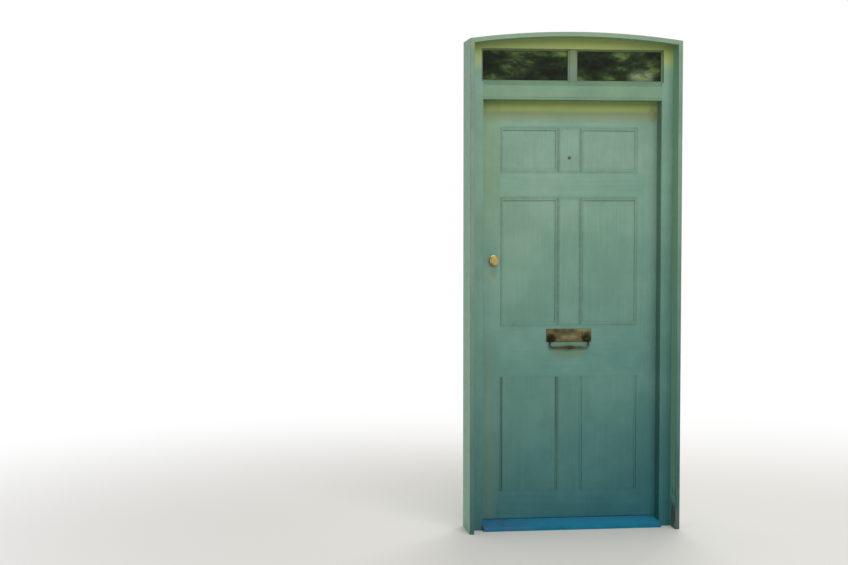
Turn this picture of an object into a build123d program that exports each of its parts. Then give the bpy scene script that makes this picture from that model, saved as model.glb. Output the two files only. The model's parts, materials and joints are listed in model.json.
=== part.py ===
"""Six-panelled front door in its arched frame, with fanlight, sill and door furniture.

Millimetres. X runs to the right as seen from the street, Y into the house and Z up. The origin
is on the underside of the sill, below the street face of the jambs, halfway between them.
"""

import os
from math import sqrt

from build123d import *

# The leaf: two stiles, four rails, three muntins and six panels
leaf_width = 864
leaf_height = 1981
leaf_thickness = 44
stile_width = 103
muntin_width = 108
top_rail_height = 134
top_panel_height = 206
frieze_rail_height = 122
middle_panel_height = 598
lock_rail_height = 244
bottom_rail_height = 137
panel_thickness = 12
panel_recess = 7
groove_depth = 10
panel_play = 1
moulding_width = 13
moulding_set = 1
same_size = 0.01
mitre_gap = 0.2
bead_width = 9
quirk_width = 2
flush_gap = 0.3
leaf_gap = 3
arris = 1.5
tenon_thickness = 14
tenon_shoulder = 22
stub_tenon_length = 15

# The frame
stop_depth = 75
stop_lap = 12
jamb_face = 54
lining_thickness = 20
lining_depth = 90
arch_rise = 34
transom_height = 84
transom_slope = 18
transom_bead = 11
fan_sight_height = 136
head_cover = 58
glass_depth = 30
glass_thickness = 4
glass_play = 1
glass_bead_width = 8
glass_bead_depth = 14
bar_core = 30
bar_front = 12
bar_depth = 48
frame_tenon_length = 30
head_tenon_length = 18
frame_tenon_setback = 40
frame_tenon_thickness = 20
transom_tenon_shoulder = 4
transom_tenon_height = 54
head_tenon_shoulder = 14
head_tenon_width = 26

# The sill and its water bar
sill_thickness = 28
nose_thickness = 20
nose_reach = 38
nose_round = 6
slope_start = 10
drip_radius = 3
drip_setback = 14
water_bar_thickness = 6
water_bar_height = 22
water_bar_upstand_height = 8
water_bar_setback = 6
water_bar_play = 1
water_bar_headroom = 3
sill_tenon_length = 22
sill_tenon_setback = 20
sill_tenon_width = 36
sill_tenon_shoulder = 6

# Holes for the wall fixings, four up each jamb
fixing_radius = 4
fixing_from_bottom = 163
fixing_from_top = 92
fixing_inner_spacing = 710

# Butt hinges, with the places of the screws as shares of a plate's height and width
hinge_height = 100
hinge_from_top = 150
hinge_from_bottom = 225
middle_hinge_rise = 58
hinge_plate_width = 30
hinge_plate_thickness = 2.5
hinge_plate_gap = 0.4
hinge_screw_pattern = ((0.13, 0.34), (0.37, 0.66), (0.63, 0.34), (0.87, 0.66))
knuckle_radius = 6
knuckle_count = 5
knuckle_gap = 0.4
knuckle_set_depth = 0.5
hinge_pin_radius = 2.5
hinge_pin_head_radius = 4.5
hinge_pin_head_height = 3

# Countersunk wood screws, and the play round shafts, screws and moving pieces
screw_head_radius = 4
screw_head_height = 2
screw_radius = 2
screw_length = 28
screw_play = 0.1
turning_play = 0.05
body_play = 0.3

# Latch and its rim cylinder
latch_rise = 305
latch_backset = 72
case_width = 92
case_height = 64
case_depth = 28
case_round = 4
bolt_length = 44
bolt_width = 16
bolt_height = 18
bolt_bevel = 8
bolt_play = 1.5
keep_gap = 3
keep_box_width = 22
keep_plate_width = 14
keep_height = 50
keep_wall = 4
keep_screw_inset = 7
latch_screw_inset = 8
latch_screw_radius = 1.8
latch_screw_length = 16
latch_screw_head = 3.5
latch_screw_head_height = 1.6
knob_radius = 17
knob_neck_radius = 9
knob_depth = 24
knob_neck_depth = 8
knob_belly_depth = 16
spindle_radius = 5
spindle_setback = 10
snib_width = 8
snib_height = 5
snib_button_depth = 4
snib_depth = 5
snib_travel = 6
snib_inset = 8
cylinder_front_depth = 20
cylinder_radius = 15.5
cylinder_length = 56
cylinder_hole_play = 0.5
plug_radius = 7
key_slot_height = 9
key_slot_width = 1.8
key_slot_depth = 12
tail_width = 8
tail_thickness = 2
tail_bite = 8
ring_radius = 24
ring_depth = 15
ring_lip_radius = 21
ring_waist_radius = 18.5
ring_waist_depth = 9
ring_foot = 3

# Letter plate with its flap and drop knocker
letter_rise = 195
plate_width = 216
plate_height = 62
plate_thickness = 4
plate_corner = 4
slot_width = 132
slot_height = 32
slot_rise = 2
flap_lap = 4
flap_thickness = 3
flap_play = 0.5
flap_knuckle_radius = 3.2
flap_pin_radius = 1.6
lug_width = 4
cut_out_margin = 3
boss_spread = 78
boss_width = 12
boss_radius = 6.5
knocker_drop = 18
knocker_depth = 9
knocker_radius = 4.5
knocker_spread = 93
knocker_height = 38
knocker_top_bend = 6
knocker_low_bend = 14
knocker_stub_radius = 3
grip_length = 78
grip_radius = 8
striker_radius = 3
striker_inset = 5
letter_bolt_spread = 97
letter_bolt_radius = 2.5
letter_nut_radius = 4.5
letter_nut_height = 5
inner_plate_thickness = 3
inner_flap_thickness = 2
inner_knuckle_radius = 2.6

# Door viewer
viewer_rise = 67
viewer_radius = 6
viewer_bore = 4.6
viewer_barrel_length = 34
viewer_flange_radius = 8
viewer_flange = 2.5
viewer_lens_length = 8
viewer_sleeve_length = 26
viewer_eye_radius = 3.2
sleeve_flange_radius = 13
cover_radius = 6.5
cover_thickness = 1.5
cover_pivot_rise = 9
rivet_radius = 1.5
rivet_head_radius = 3

# Planes across the frame, left and right of the middle
rebate_x = leaf_width / 2 + leaf_gap
stop_x = rebate_x - stop_lap
jamb_x = stop_x + jamb_face
lining_x = jamb_x + lining_thickness
fan_rebate_x = stop_x + glass_bead_width

# Planes through the depth of the frame
leaf_front = stop_depth
leaf_back = leaf_front + leaf_thickness
glass_back = glass_depth + glass_thickness
panel_front = leaf_front + panel_recess
panel_back = panel_front + panel_thickness

# Levels of the frame
leaf_bottom = sill_thickness + leaf_gap
leaf_top = leaf_bottom + leaf_height
door_rebate_top = leaf_top + leaf_gap
transom_bottom = door_rebate_top - stop_lap
transom_top = transom_bottom + transom_height
fan_bottom = transom_top + glass_bead_width
fan_top = fan_bottom + fan_sight_height
fan_rebate_top = fan_top + glass_bead_width
arch_crown = fan_top + head_cover + lining_thickness
arch_outer_radius = (lining_x**2 + arch_rise**2) / (2 * arch_rise)
arch_inner_radius = arch_outer_radius - lining_thickness
arch_centre = arch_crown - arch_outer_radius

# Sides and levels of the panel openings
stile_x = leaf_width / 2 - stile_width
muntin_x = muntin_width / 2
top_panel_top = leaf_top - top_rail_height
middle_panel_top = top_panel_top - top_panel_height - frieze_rail_height
lower_panel_top = middle_panel_top - middle_panel_height - lock_rail_height
top_panel = (top_panel_top - top_panel_height, top_panel_top)
middle_panel = (middle_panel_top - middle_panel_height, middle_panel_top)
lower_panel = (leaf_bottom + bottom_rail_height, lower_panel_top)
panel_rows = {"top": top_panel, "middle": middle_panel, "lower": lower_panel}
panel_sides = {"left": (-stile_x, -muntin_x), "right": (muntin_x, stile_x)}
rail_rows = {
    "top": (top_panel[1], leaf_top),
    "frieze": (middle_panel[1], top_panel[0]),
    "lock": (lower_panel[1], middle_panel[0]),
    "bottom": (leaf_bottom, lower_panel[0]),
}
leaf_middle = (leaf_front + leaf_back) / 2
tenon_y = (leaf_middle - tenon_thickness / 2, leaf_middle + tenon_thickness / 2)

# Places of the hinges, which the jamb and the leaf share
hinge_x = (leaf_width / 2 + rebate_x) / 2
hinge_y = leaf_back + knuckle_radius + knuckle_set_depth
hinge_levels = {
    "top": leaf_top - hinge_from_top - hinge_height,
    "middle": middle_panel[0] + middle_hinge_rise,
    "bottom": leaf_bottom + hinge_from_bottom,
}
plate_face_frame = hinge_x + hinge_plate_gap / 2
plate_face_leaf = hinge_x - hinge_plate_gap / 2

# Places of the latch, its keep and the cylinder
latch_x = latch_backset - leaf_width / 2
latch_z = middle_panel[0] + latch_rise
case_x = (-leaf_width / 2, case_width - leaf_width / 2)
case_face = leaf_back + case_depth
bolt_nose = case_x[0] + body_play
bolt_x = (bolt_nose, bolt_nose + bolt_length)
bolt_y = (leaf_back + (case_depth - bolt_width) / 2, leaf_back + (case_depth + bolt_width) / 2)
bolt_z = (latch_z - bolt_height / 2, latch_z + bolt_height / 2)
keep_edge = -rebate_x - keep_gap
keep_box_edge = keep_edge - keep_box_width
keep_z = (latch_z - keep_height / 2, latch_z + keep_height / 2)
spindle_end = leaf_back + spindle_setback
tail_end = spindle_end + tail_bite
snib_centre_z = latch_z + case_height / 2 - snib_inset
snib_x = (latch_x - snib_width / 2, latch_x + snib_width / 2)
snib_z = (snib_centre_z - snib_height / 2, snib_centre_z + snib_height / 2)
snib_floor = case_face - snib_depth
cylinder_face = leaf_front - cylinder_front_depth

# Places of the letter plate, its flaps and its knocker
letter_z = lower_panel_top + letter_rise
plate_face = leaf_front - plate_thickness
inner_plate_face = leaf_back + inner_plate_thickness
slot_x = slot_width / 2
slot_z = (letter_z + slot_rise - slot_height / 2, letter_z + slot_rise + slot_height / 2)
flap_x = slot_x + flap_lap
flap_z = (slot_z[0] - flap_lap, slot_z[1] + flap_lap)
lug_x = flap_x + flap_play + lug_width
cut_out_x = lug_x + cut_out_margin
cut_out_z = (flap_z[0] - cut_out_margin, flap_z[1] + flap_knuckle_radius + cut_out_margin)
knocker_y = plate_face - knocker_depth
knocker_z = letter_z - knocker_drop
knocker_low_z = knocker_z - knocker_height
boss_outer_x = boss_spread + boss_width / 2 + flap_play
striker_z = letter_z - plate_height / 2 + striker_inset

# Places of the door viewer
viewer_z = top_panel[0] + viewer_rise
cover_pivot_z = viewer_z + cover_pivot_rise


def arch_level(x, radius):
    """Height of an arc of the arch at a distance from the middle."""
    return arch_centre + sqrt(radius**2 - x**2)


keep_screw_places = [
    (
        keep_box_edge - keep_plate_width / 2,
        leaf_back + keep_wall,
        latch_z + side * (keep_height / 2 - keep_screw_inset),
    )
    for side in (-1, 1)
]
latch_screw_places = [
    (x, leaf_back, latch_z + side * (case_height / 2 - latch_screw_inset))
    for x in (case_x[0] + latch_screw_inset, case_x[1] - latch_screw_inset)
    for side in (-1, 1)
]
fixing_y = leaf_middle
fixing_top = door_rebate_top - fixing_from_top
fixing_centre = (fixing_from_bottom + fixing_top) / 2
fixing_levels = [
    fixing_from_bottom,
    fixing_centre - fixing_inner_spacing / 2,
    fixing_centre + fixing_inner_spacing / 2,
    fixing_top,
]


MIDDLE_MAX = (Align.CENTER, Align.CENTER, Align.MAX)
MIDDLE_MIN = (Align.CENTER, Align.CENTER, Align.MIN)
TO_STREET = (0, -1, 0)
TO_HOUSE = (0, 1, 0)
TO_RIGHT = (1, 0, 0)
TO_LEFT = (-1, 0, 0)


def block(x, y, z, mode=Mode.ADD):
    """A box between two limits on each axis."""
    with Locations(((x[0] + x[1]) / 2, (y[0] + y[1]) / 2, (z[0] + z[1]) / 2)):
        Box(x[1] - x[0], y[1] - y[0], z[1] - z[0], mode=mode)


def rod(start, z_dir, radius, length, mode=Mode.ADD):
    """A round bar or hole that runs from a point along a direction."""
    with Locations(Plane(origin=start, z_dir=z_dir)):
        Cylinder(radius, length, align=MIDDLE_MIN, mode=mode)


def screws(places, z_dir, mode=Mode.ADD, play=0):
    """Countersunk screws, or their holes, with z_dir pointing out of the head."""
    with Locations(*[Plane(origin=place, z_dir=z_dir) for place in places]):
        Cone(
            screw_radius + play,
            screw_head_radius + play,
            screw_head_height,
            align=MIDDLE_MAX,
            mode=mode,
        )
        Cylinder(screw_radius + play, screw_length + play, align=MIDDLE_MAX, mode=mode)


def street_plane(y):
    """A plane seen from the street, with X to the right and Z up."""
    return Plane(origin=(0, y, 0), x_dir=TO_RIGHT, z_dir=TO_STREET)


def near(value, target):
    """Whether two sizes are the same to a hair."""
    return abs(value - target) < same_size


def mitred_frame(x, z, y, width, nosing):
    """Four strips mitred inside a rectangle, rounded on the edge that faces the opening."""
    inner_x = (x[0] + width, x[1] - width)
    inner_z = (z[0] + width, z[1] - width)
    with BuildPart() as strips:
        for side in (0, 1):
            lying = [
                (x[0] + mitre_gap, z[side]),
                (x[1] - mitre_gap, z[side]),
                (inner_x[1] - mitre_gap, inner_z[side]),
                (inner_x[0] + mitre_gap, inner_z[side]),
            ]
            standing = [
                (x[side], z[0] + mitre_gap),
                (x[side], z[1] - mitre_gap),
                (inner_x[side], inner_z[1] - mitre_gap),
                (inner_x[side], inner_z[0] + mitre_gap),
            ]
            for outline in (lying, standing):
                with BuildSketch(street_plane(y[0])):
                    with BuildLine():
                        Polyline(*outline, close=True)
                    make_face()
                extrude(amount=y[0] - y[1])
        nosed = []
        for edge in strips.edges().group_by(Axis.Y)[0]:
            middle = edge.center()
            inside_x = near(middle.X, inner_x[0]) or near(middle.X, inner_x[1])
            inside_z = near(middle.Z, inner_z[0]) or near(middle.Z, inner_z[1])
            if inside_x or inside_z:
                nosed.append(edge)
        fillet(nosed, nosing)
    return strips.part


# Sill, tenoned between the jambs, with a weathered nose that stands out between them
water_bar_front = leaf_front + water_bar_setback
water_bar_back = water_bar_front + water_bar_thickness
water_bar_top = sill_thickness + water_bar_upstand_height
water_bar_foot = water_bar_top - water_bar_height

with BuildPart() as sill:
    with BuildSketch(Plane.YZ.offset(-stop_x)):
        with BuildLine():
            Polyline(
                (leaf_back, 0),
                (leaf_back, sill_thickness),
                (leaf_front - slope_start, sill_thickness),
                (-nose_reach, nose_thickness),
                (-nose_reach, 0),
                close=True,
            )
        make_face()
    extrude(amount=2 * stop_x)
    nose_edges = sill.edges().filter_by(Axis.X).group_by(Axis.Y)[0]
    fillet(nose_edges.sort_by(Axis.Z)[-1], nose_round)
    rod(
        (-stop_x, drip_setback - nose_reach, 0),
        TO_RIGHT,
        drip_radius,
        2 * stop_x,
        Mode.SUBTRACT,
    )
    block((-rebate_x, rebate_x), (leaf_front, leaf_back), (0, sill_thickness))
    block(
        (-stop_x - sill_tenon_length, stop_x + sill_tenon_length),
        (sill_tenon_setback, sill_tenon_setback + sill_tenon_width),
        (sill_tenon_shoulder, sill_thickness - sill_tenon_shoulder),
    )
    block(
        (-rebate_x, rebate_x),
        (water_bar_front, water_bar_back),
        (water_bar_foot, sill_thickness),
        Mode.SUBTRACT,
    )
sill.part.label = "sill"

# Water bar, let into the sill and rounded on top
with BuildPart() as water_bar:
    block(
        (-rebate_x, rebate_x),
        (water_bar_front, water_bar_back),
        (water_bar_foot, water_bar_top),
    )
    fillet(water_bar.edges().filter_by(Axis.X).group_by(Axis.Z)[-1], arris)
water_bar.part.label = "water_bar"


def hinge_screw_places(x):
    """Places of the screws on the plates of all the hinges."""
    return [
        (x, leaf_back - across * hinge_plate_width, level + along * hinge_height)
        for level in hinge_levels.values()
        for along, across in hinge_screw_pattern
    ]


def fixing_holes(side):
    """Holes for the wall fixings, hidden behind the edge of the leaf."""
    for level in fixing_levels:
        start = (side * stop_x, fixing_y, level)
        rod(start, (side, 0, 0), fixing_radius, lining_x - stop_x, Mode.SUBTRACT)


def transom_tenon(mode=Mode.ADD):
    """The tenon that joins the transom's right end to its jamb."""
    foot = door_rebate_top + transom_tenon_shoulder
    block(
        (stop_x, stop_x + frame_tenon_length),
        (frame_tenon_setback, frame_tenon_setback + frame_tenon_thickness),
        (foot, foot + transom_tenon_height),
        mode,
    )


def head_tenon(mode=Mode.ADD):
    """The tenon on top of the right jamb, which enters the head."""
    block(
        (stop_x + head_tenon_shoulder, stop_x + head_tenon_shoulder + head_tenon_width),
        (frame_tenon_setback, frame_tenon_setback + frame_tenon_thickness),
        (fan_top, fan_top + head_tenon_length),
        mode,
    )


# Jambs: rebated inside for the leaf and outside for the fanlight glass
with BuildPart() as jamb_blank:
    block((stop_x, jamb_x), (0, leaf_back), (0, fan_top))
    street_edges = jamb_blank.edges().filter_by(Axis.Z).group_by(Axis.Y)[0]
    fillet(street_edges.sort_by(Axis.X)[0], arris)
    block((stop_x, rebate_x), (leaf_front, leaf_back), (0, door_rebate_top), Mode.SUBTRACT)
    block((stop_x, fan_rebate_x), (0, glass_back), (transom_top, fan_top), Mode.SUBTRACT)
    add(sill.part, mode=Mode.SUBTRACT)
    transom_tenon(Mode.SUBTRACT)
    head_tenon()

with BuildPart() as jamb_right:
    add(jamb_blank.part)
    fixing_holes(1)
    for level in hinge_levels.values():
        block(
            (rebate_x, plate_face_frame + hinge_plate_thickness),
            (leaf_back - hinge_plate_width, leaf_back),
            (level, level + hinge_height),
            Mode.SUBTRACT,
        )
    screws(hinge_screw_places(plate_face_frame), TO_LEFT, Mode.SUBTRACT, screw_play)
jamb_right.part.label = "jamb_right"

with BuildPart() as jamb_left:
    mirror(jamb_blank.part, about=Plane.YZ)
    fixing_holes(-1)
    screws(keep_screw_places, TO_HOUSE, Mode.SUBTRACT, screw_play)
jamb_left.part.label = "jamb_left"

# Transom: weathered on top, beaded along its lower edge, rebated for the leaf and the glass
with BuildPart() as transom:
    with BuildSketch(Plane.YZ.offset(-stop_x)):
        with BuildLine():
            Polyline(
                (leaf_back, door_rebate_top),
                (leaf_back, fan_bottom),
                (glass_back, fan_bottom),
                (glass_back, transom_top),
                (glass_depth - glass_bead_depth, transom_top),
                (0, transom_top - transom_slope),
                (0, transom_bottom),
                (leaf_front, transom_bottom),
                (leaf_front, door_rebate_top),
                close=True,
            )
        make_face()
    extrude(amount=2 * stop_x)
    lower_edges = transom.edges().filter_by(Axis.X).group_by(Axis.Y)[0]
    fillet(lower_edges.sort_by(Axis.Z)[0], transom_bead / 2)
    block(
        (-stop_x, stop_x),
        (0, quirk_width),
        (transom_bottom + transom_bead, transom_bottom + transom_bead + quirk_width),
        Mode.SUBTRACT,
    )
    with BuildPart(mode=Mode.PRIVATE) as tenon:
        transom_tenon()
    add(tenon.part)
    mirror(tenon.part, about=Plane.YZ)
transom.part.label = "transom"


def arched_board(half_width, bottom, radius, depth):
    """The outline between a level and an arc, run through the depth of a piece."""
    with BuildSketch(street_plane(depth[0])) as outline:
        with BuildLine():
            Polyline(
                (half_width, arch_level(half_width, radius)),
                (half_width, bottom),
                (-half_width, bottom),
                (-half_width, arch_level(half_width, radius)),
            )
            ThreePointArc(
                (-half_width, arch_level(half_width, radius)),
                (0, arch_level(0, radius)),
                (half_width, arch_level(half_width, radius)),
            )
        make_face()
    extrude(outline.sketch, amount=depth[0] - depth[1])


# Head: flat below, arched on top and rebated for the glass
with BuildPart() as head:
    arched_board(jamb_x, fan_top, arch_inner_radius, (0, leaf_back))
    block(
        (-fan_rebate_x, fan_rebate_x),
        (0, glass_back),
        (fan_top, fan_rebate_top),
        Mode.SUBTRACT,
    )
    with BuildPart(mode=Mode.PRIVATE) as tenon:
        head_tenon()
    add(tenon.part, mode=Mode.SUBTRACT)
    mirror(tenon.part, about=Plane.YZ, mode=Mode.SUBTRACT)
head.part.label = "head"

# Glazing bar between the panes
with BuildPart() as glazing_bar:
    block(
        (-bar_core / 2, bar_core / 2),
        (bar_front, glass_back),
        (transom_top - transom_slope, fan_rebate_top),
    )
    nose_edges = glazing_bar.edges().filter_by(Axis.Z).group_by(Axis.Y)[0]
    fillet(nose_edges, arris)
    add(transom.part, mode=Mode.SUBTRACT)
    block(
        (-bar_core / 2 - glass_bead_width, bar_core / 2 + glass_bead_width),
        (glass_back, bar_front + bar_depth),
        (fan_bottom, fan_top),
    )
glazing_bar.part.label = "glazing_bar"

# Fanlight panes and the beads that hold them
pane_x = (bar_core / 2, fan_rebate_x)
pane_z = (transom_top, fan_rebate_top)
bead_y = (glass_depth - glass_bead_depth, glass_depth)
bead_frame = mitred_frame(pane_x, pane_z, bead_y, glass_bead_width, glass_bead_width / 2)

with BuildPart() as fanlight_glass_right:
    block(
        (pane_x[0] + glass_play, pane_x[1] - glass_play),
        (glass_depth, glass_back),
        (pane_z[0] + glass_play, pane_z[1] - glass_play),
    )
fanlight_glass_right.part.label = "fanlight_glass_right"

with BuildPart() as fanlight_glass_left:
    mirror(fanlight_glass_right.part, about=Plane.YZ)
fanlight_glass_left.part.label = "fanlight_glass_left"

with BuildPart() as fanlight_beads:
    add(bead_frame)
    mirror(bead_frame, about=Plane.YZ)
fanlight_beads.part.label = "fanlight_beads"

# Lining boards round the sides and over the head
lining_side_top = arch_level(jamb_x, arch_inner_radius)

with BuildPart() as lining_right:
    block((jamb_x, lining_x), (-lining_depth, leaf_back), (0, lining_side_top))
    fillet(lining_right.edges().filter_by(Axis.Z).group_by(Axis.Y)[0], arris)
    fixing_holes(1)
lining_right.part.label = "lining_right"

with BuildPart() as lining_left:
    mirror(lining_right.part, about=Plane.YZ)
lining_left.part.label = "lining_left"

with BuildPart() as lining_arch:
    arched_board(
        lining_x,
        lining_side_top,
        arch_outer_radius,
        (-lining_depth, leaf_back),
    )
    with BuildSketch(street_plane(-lining_depth)):
        with Locations((0, arch_centre)):
            Circle(arch_inner_radius)
    extrude(amount=-lining_depth - leaf_back, mode=Mode.SUBTRACT)
lining_arch.part.label = "lining_arch"

# Panels: the upper four are recessed, the lower two stand flush with a bead down each side
pieces_of_panels = []
for row, z in panel_rows.items():
    for side, x in panel_sides.items():
        with BuildPart() as panel:
            tongue = groove_depth - panel_play
            block(
                (x[0] - tongue, x[1] + tongue),
                (panel_front, panel_back),
                (z[0] - tongue, z[1] + tongue),
            )
            if row == "lower":
                field_z = (z[0] + flush_gap, z[1] - flush_gap)
                field_edge = flush_gap + bead_width + quirk_width
                block((x[0] + field_edge, x[1] - field_edge), (leaf_front, panel_front), field_z)
                bead_radius = bead_width / 2
                for bead_x in (x[0] + flush_gap + bead_radius, x[1] - flush_gap - bead_radius):
                    rod(
                        (bead_x, leaf_front + bead_radius, field_z[0]),
                        (0, 0, 1),
                        bead_radius,
                        field_z[1] - field_z[0],
                    )
        panel.part.label = f"panel_{row}_{side}"
        pieces_of_panels.append(panel.part)

# Mouldings round the upper panels, mitred at the corners
pieces_of_mouldings = []
moulding_y = (leaf_front + moulding_set, panel_front)
moulding_nosing = panel_recess - arris - moulding_set
for row in ("top", "middle"):
    z = panel_rows[row]
    frames = [
        mitred_frame(x, z, moulding_y, moulding_width, moulding_nosing)
        for x in panel_sides.values()
    ]
    with BuildPart() as mouldings:
        add(frames)
    mouldings.part.label = f"mouldings_{row}"
    pieces_of_mouldings.append(mouldings.part)


def leaf_member(x, z):
    """One stile, rail or muntin, grooved for the panels beside it."""
    block(x, (leaf_front, leaf_back), z)
    for row_z in panel_rows.values():
        for side_x in panel_sides.values():
            block(
                (side_x[0] - groove_depth, side_x[1] + groove_depth),
                (panel_front, panel_back),
                (row_z[0] - groove_depth, row_z[1] + groove_depth),
                Mode.SUBTRACT,
            )


def through_tenons(z, mode=Mode.ADD):
    """The tenons of a rail, which run right through both stiles."""
    tenon_z = (z[0] + tenon_shoulder, z[1] - tenon_shoulder)
    block((-leaf_width / 2, -stile_x), tenon_y, tenon_z, mode)
    block((stile_x, leaf_width / 2), tenon_y, tenon_z, mode)


def rail_mortices():
    """The mortices in a stile for the tenons of all the rails."""
    for z in rail_rows.values():
        through_tenons(z, Mode.SUBTRACT)


def stub_tenons(z, mode=Mode.ADD):
    """The short tenons of a muntin, which enter the rails above and below it."""
    block(
        (-muntin_x + tenon_shoulder, muntin_x - tenon_shoulder),
        tenon_y,
        (z[0] - stub_tenon_length, z[1] + stub_tenon_length),
        mode,
    )


def muntin_mortices():
    """The mortices in a rail for the tenons of the muntins."""
    for z in panel_rows.values():
        stub_tenons(z, Mode.SUBTRACT)


def weather_rebate(x):
    """The rebate along the foot of the leaf that clears the water bar."""
    block(
        x,
        (leaf_front, water_bar_back + water_bar_play),
        (leaf_bottom, water_bar_top + water_bar_headroom),
        Mode.SUBTRACT,
    )


leaf_z = (leaf_bottom, leaf_top)

# Stiles
with BuildPart() as lock_stile:
    leaf_member((-leaf_width / 2, -stile_x), leaf_z)
    fillet(lock_stile.edges().filter_by(Axis.Z).group_by(Axis.X)[0], arris)
    weather_rebate((-leaf_width / 2, -stile_x))
    rail_mortices()
    rod(
        (latch_x, leaf_front, latch_z),
        TO_HOUSE,
        cylinder_radius + cylinder_hole_play,
        leaf_thickness,
        Mode.SUBTRACT,
    )
    for place in latch_screw_places:
        rod(place, TO_STREET, latch_screw_radius + screw_play, latch_screw_length, Mode.SUBTRACT)
lock_stile.part.label = "lock_stile"

with BuildPart() as hinge_stile:
    leaf_member((stile_x, leaf_width / 2), leaf_z)
    fillet(hinge_stile.edges().filter_by(Axis.Z).group_by(Axis.X)[-1], arris)
    weather_rebate((stile_x, leaf_width / 2))
    rail_mortices()
    for level in hinge_levels.values():
        block(
            (plate_face_leaf - hinge_plate_thickness, leaf_width / 2),
            (leaf_back - hinge_plate_width, leaf_back),
            (level, level + hinge_height),
            Mode.SUBTRACT,
        )
    screws(hinge_screw_places(plate_face_leaf), TO_RIGHT, Mode.SUBTRACT, screw_play)
hinge_stile.part.label = "hinge_stile"

# Rails
with BuildPart() as top_rail:
    leaf_member((-stile_x, stile_x), rail_rows["top"])
    muntin_mortices()
    through_tenons(rail_rows["top"])
top_rail.part.label = "top_rail"

with BuildPart() as frieze_rail:
    leaf_member((-stile_x, stile_x), rail_rows["frieze"])
    muntin_mortices()
    through_tenons(rail_rows["frieze"])
frieze_rail.part.label = "frieze_rail"

with BuildPart() as lock_rail:
    leaf_member((-stile_x, stile_x), rail_rows["lock"])
    muntin_mortices()
    through_tenons(rail_rows["lock"])
    block((-cut_out_x, cut_out_x), (leaf_front, leaf_back), cut_out_z, Mode.SUBTRACT)
    for side in (-1, 1):
        rod(
            (side * letter_bolt_spread, leaf_front, letter_z),
            TO_HOUSE,
            letter_bolt_radius + screw_play,
            leaf_thickness,
            Mode.SUBTRACT,
        )
lock_rail.part.label = "lock_rail"

with BuildPart() as bottom_rail:
    leaf_member((-stile_x, stile_x), rail_rows["bottom"])
    weather_rebate((-stile_x, stile_x))
    muntin_mortices()
    through_tenons(rail_rows["bottom"])
bottom_rail.part.label = "bottom_rail"

# Muntins
with BuildPart() as muntin_top:
    leaf_member((-muntin_x, muntin_x), top_panel)
    stub_tenons(top_panel)
    rod(
        (0, leaf_front, viewer_z),
        TO_HOUSE,
        viewer_radius + screw_play,
        leaf_thickness,
        Mode.SUBTRACT,
    )
muntin_top.part.label = "muntin_top"

with BuildPart() as muntin_middle:
    leaf_member((-muntin_x, muntin_x), middle_panel)
    stub_tenons(middle_panel)
muntin_middle.part.label = "muntin_middle"

with BuildPart() as muntin_lower:
    leaf_member((-muntin_x, muntin_x), lower_panel)
    stub_tenons(lower_panel)
muntin_lower.part.label = "muntin_lower"


def hinge_leaf(level, plate_x, screw_face, odd, z_dir):
    """A hinge plate with its share of the knuckles, which alternate up the pin."""
    pitch = hinge_height / knuckle_count
    with BuildPart() as leaf:
        block(
            plate_x,
            (leaf_back - hinge_plate_width, hinge_y),
            (level, level + hinge_height),
        )
        for number in range(knuckle_count):
            foot = level + number * pitch
            if number % 2 == odd:
                rod(
                    (hinge_x, hinge_y, foot + knuckle_gap / 2),
                    (0, 0, 1),
                    knuckle_radius,
                    pitch - knuckle_gap,
                )
            else:
                rod(
                    (hinge_x, hinge_y, foot - knuckle_gap / 2),
                    (0, 0, 1),
                    knuckle_radius + knuckle_set_depth,
                    pitch + knuckle_gap,
                    Mode.SUBTRACT,
                )
        rod(
            (hinge_x, hinge_y, level),
            (0, 0, 1),
            hinge_pin_radius + turning_play,
            hinge_height,
            Mode.SUBTRACT,
        )
        places = [
            place
            for place in hinge_screw_places(screw_face)
            if level < place[2] < level + hinge_height
        ]
        screws(places, z_dir, Mode.SUBTRACT, screw_play)
    return leaf.part


# Hinges: frame leaf, door leaf and pin at each of three levels
pieces_of_hinges = []
for name, level in hinge_levels.items():
    frame_side = hinge_leaf(
        level,
        (plate_face_frame, plate_face_frame + hinge_plate_thickness),
        plate_face_frame,
        0,
        TO_LEFT,
    )
    frame_side.label = f"hinge_{name}_frame_leaf"
    door_side = hinge_leaf(
        level,
        (plate_face_leaf - hinge_plate_thickness, plate_face_leaf),
        plate_face_leaf,
        1,
        TO_RIGHT,
    )
    door_side.label = f"hinge_{name}_door_leaf"
    pieces_of_hinges += [frame_side, door_side]

with BuildPart() as hinge_pins:
    for level in hinge_levels.values():
        rod((hinge_x, hinge_y, level), (0, 0, 1), hinge_pin_radius, hinge_height)
        for end, z_dir in ((level, (0, 0, -1)), (level + hinge_height, (0, 0, 1))):
            rod((hinge_x, hinge_y, end), z_dir, hinge_pin_head_radius, hinge_pin_head_height)
hinge_pins.part.label = "hinge_pins"

with BuildPart() as frame_screws:
    screws(hinge_screw_places(plate_face_frame), TO_LEFT)
    screws(keep_screw_places, TO_HOUSE)
frame_screws.part.label = "frame_screws"

with BuildPart() as door_screws:
    screws(hinge_screw_places(plate_face_leaf), TO_RIGHT)
door_screws.part.label = "door_screws"

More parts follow.
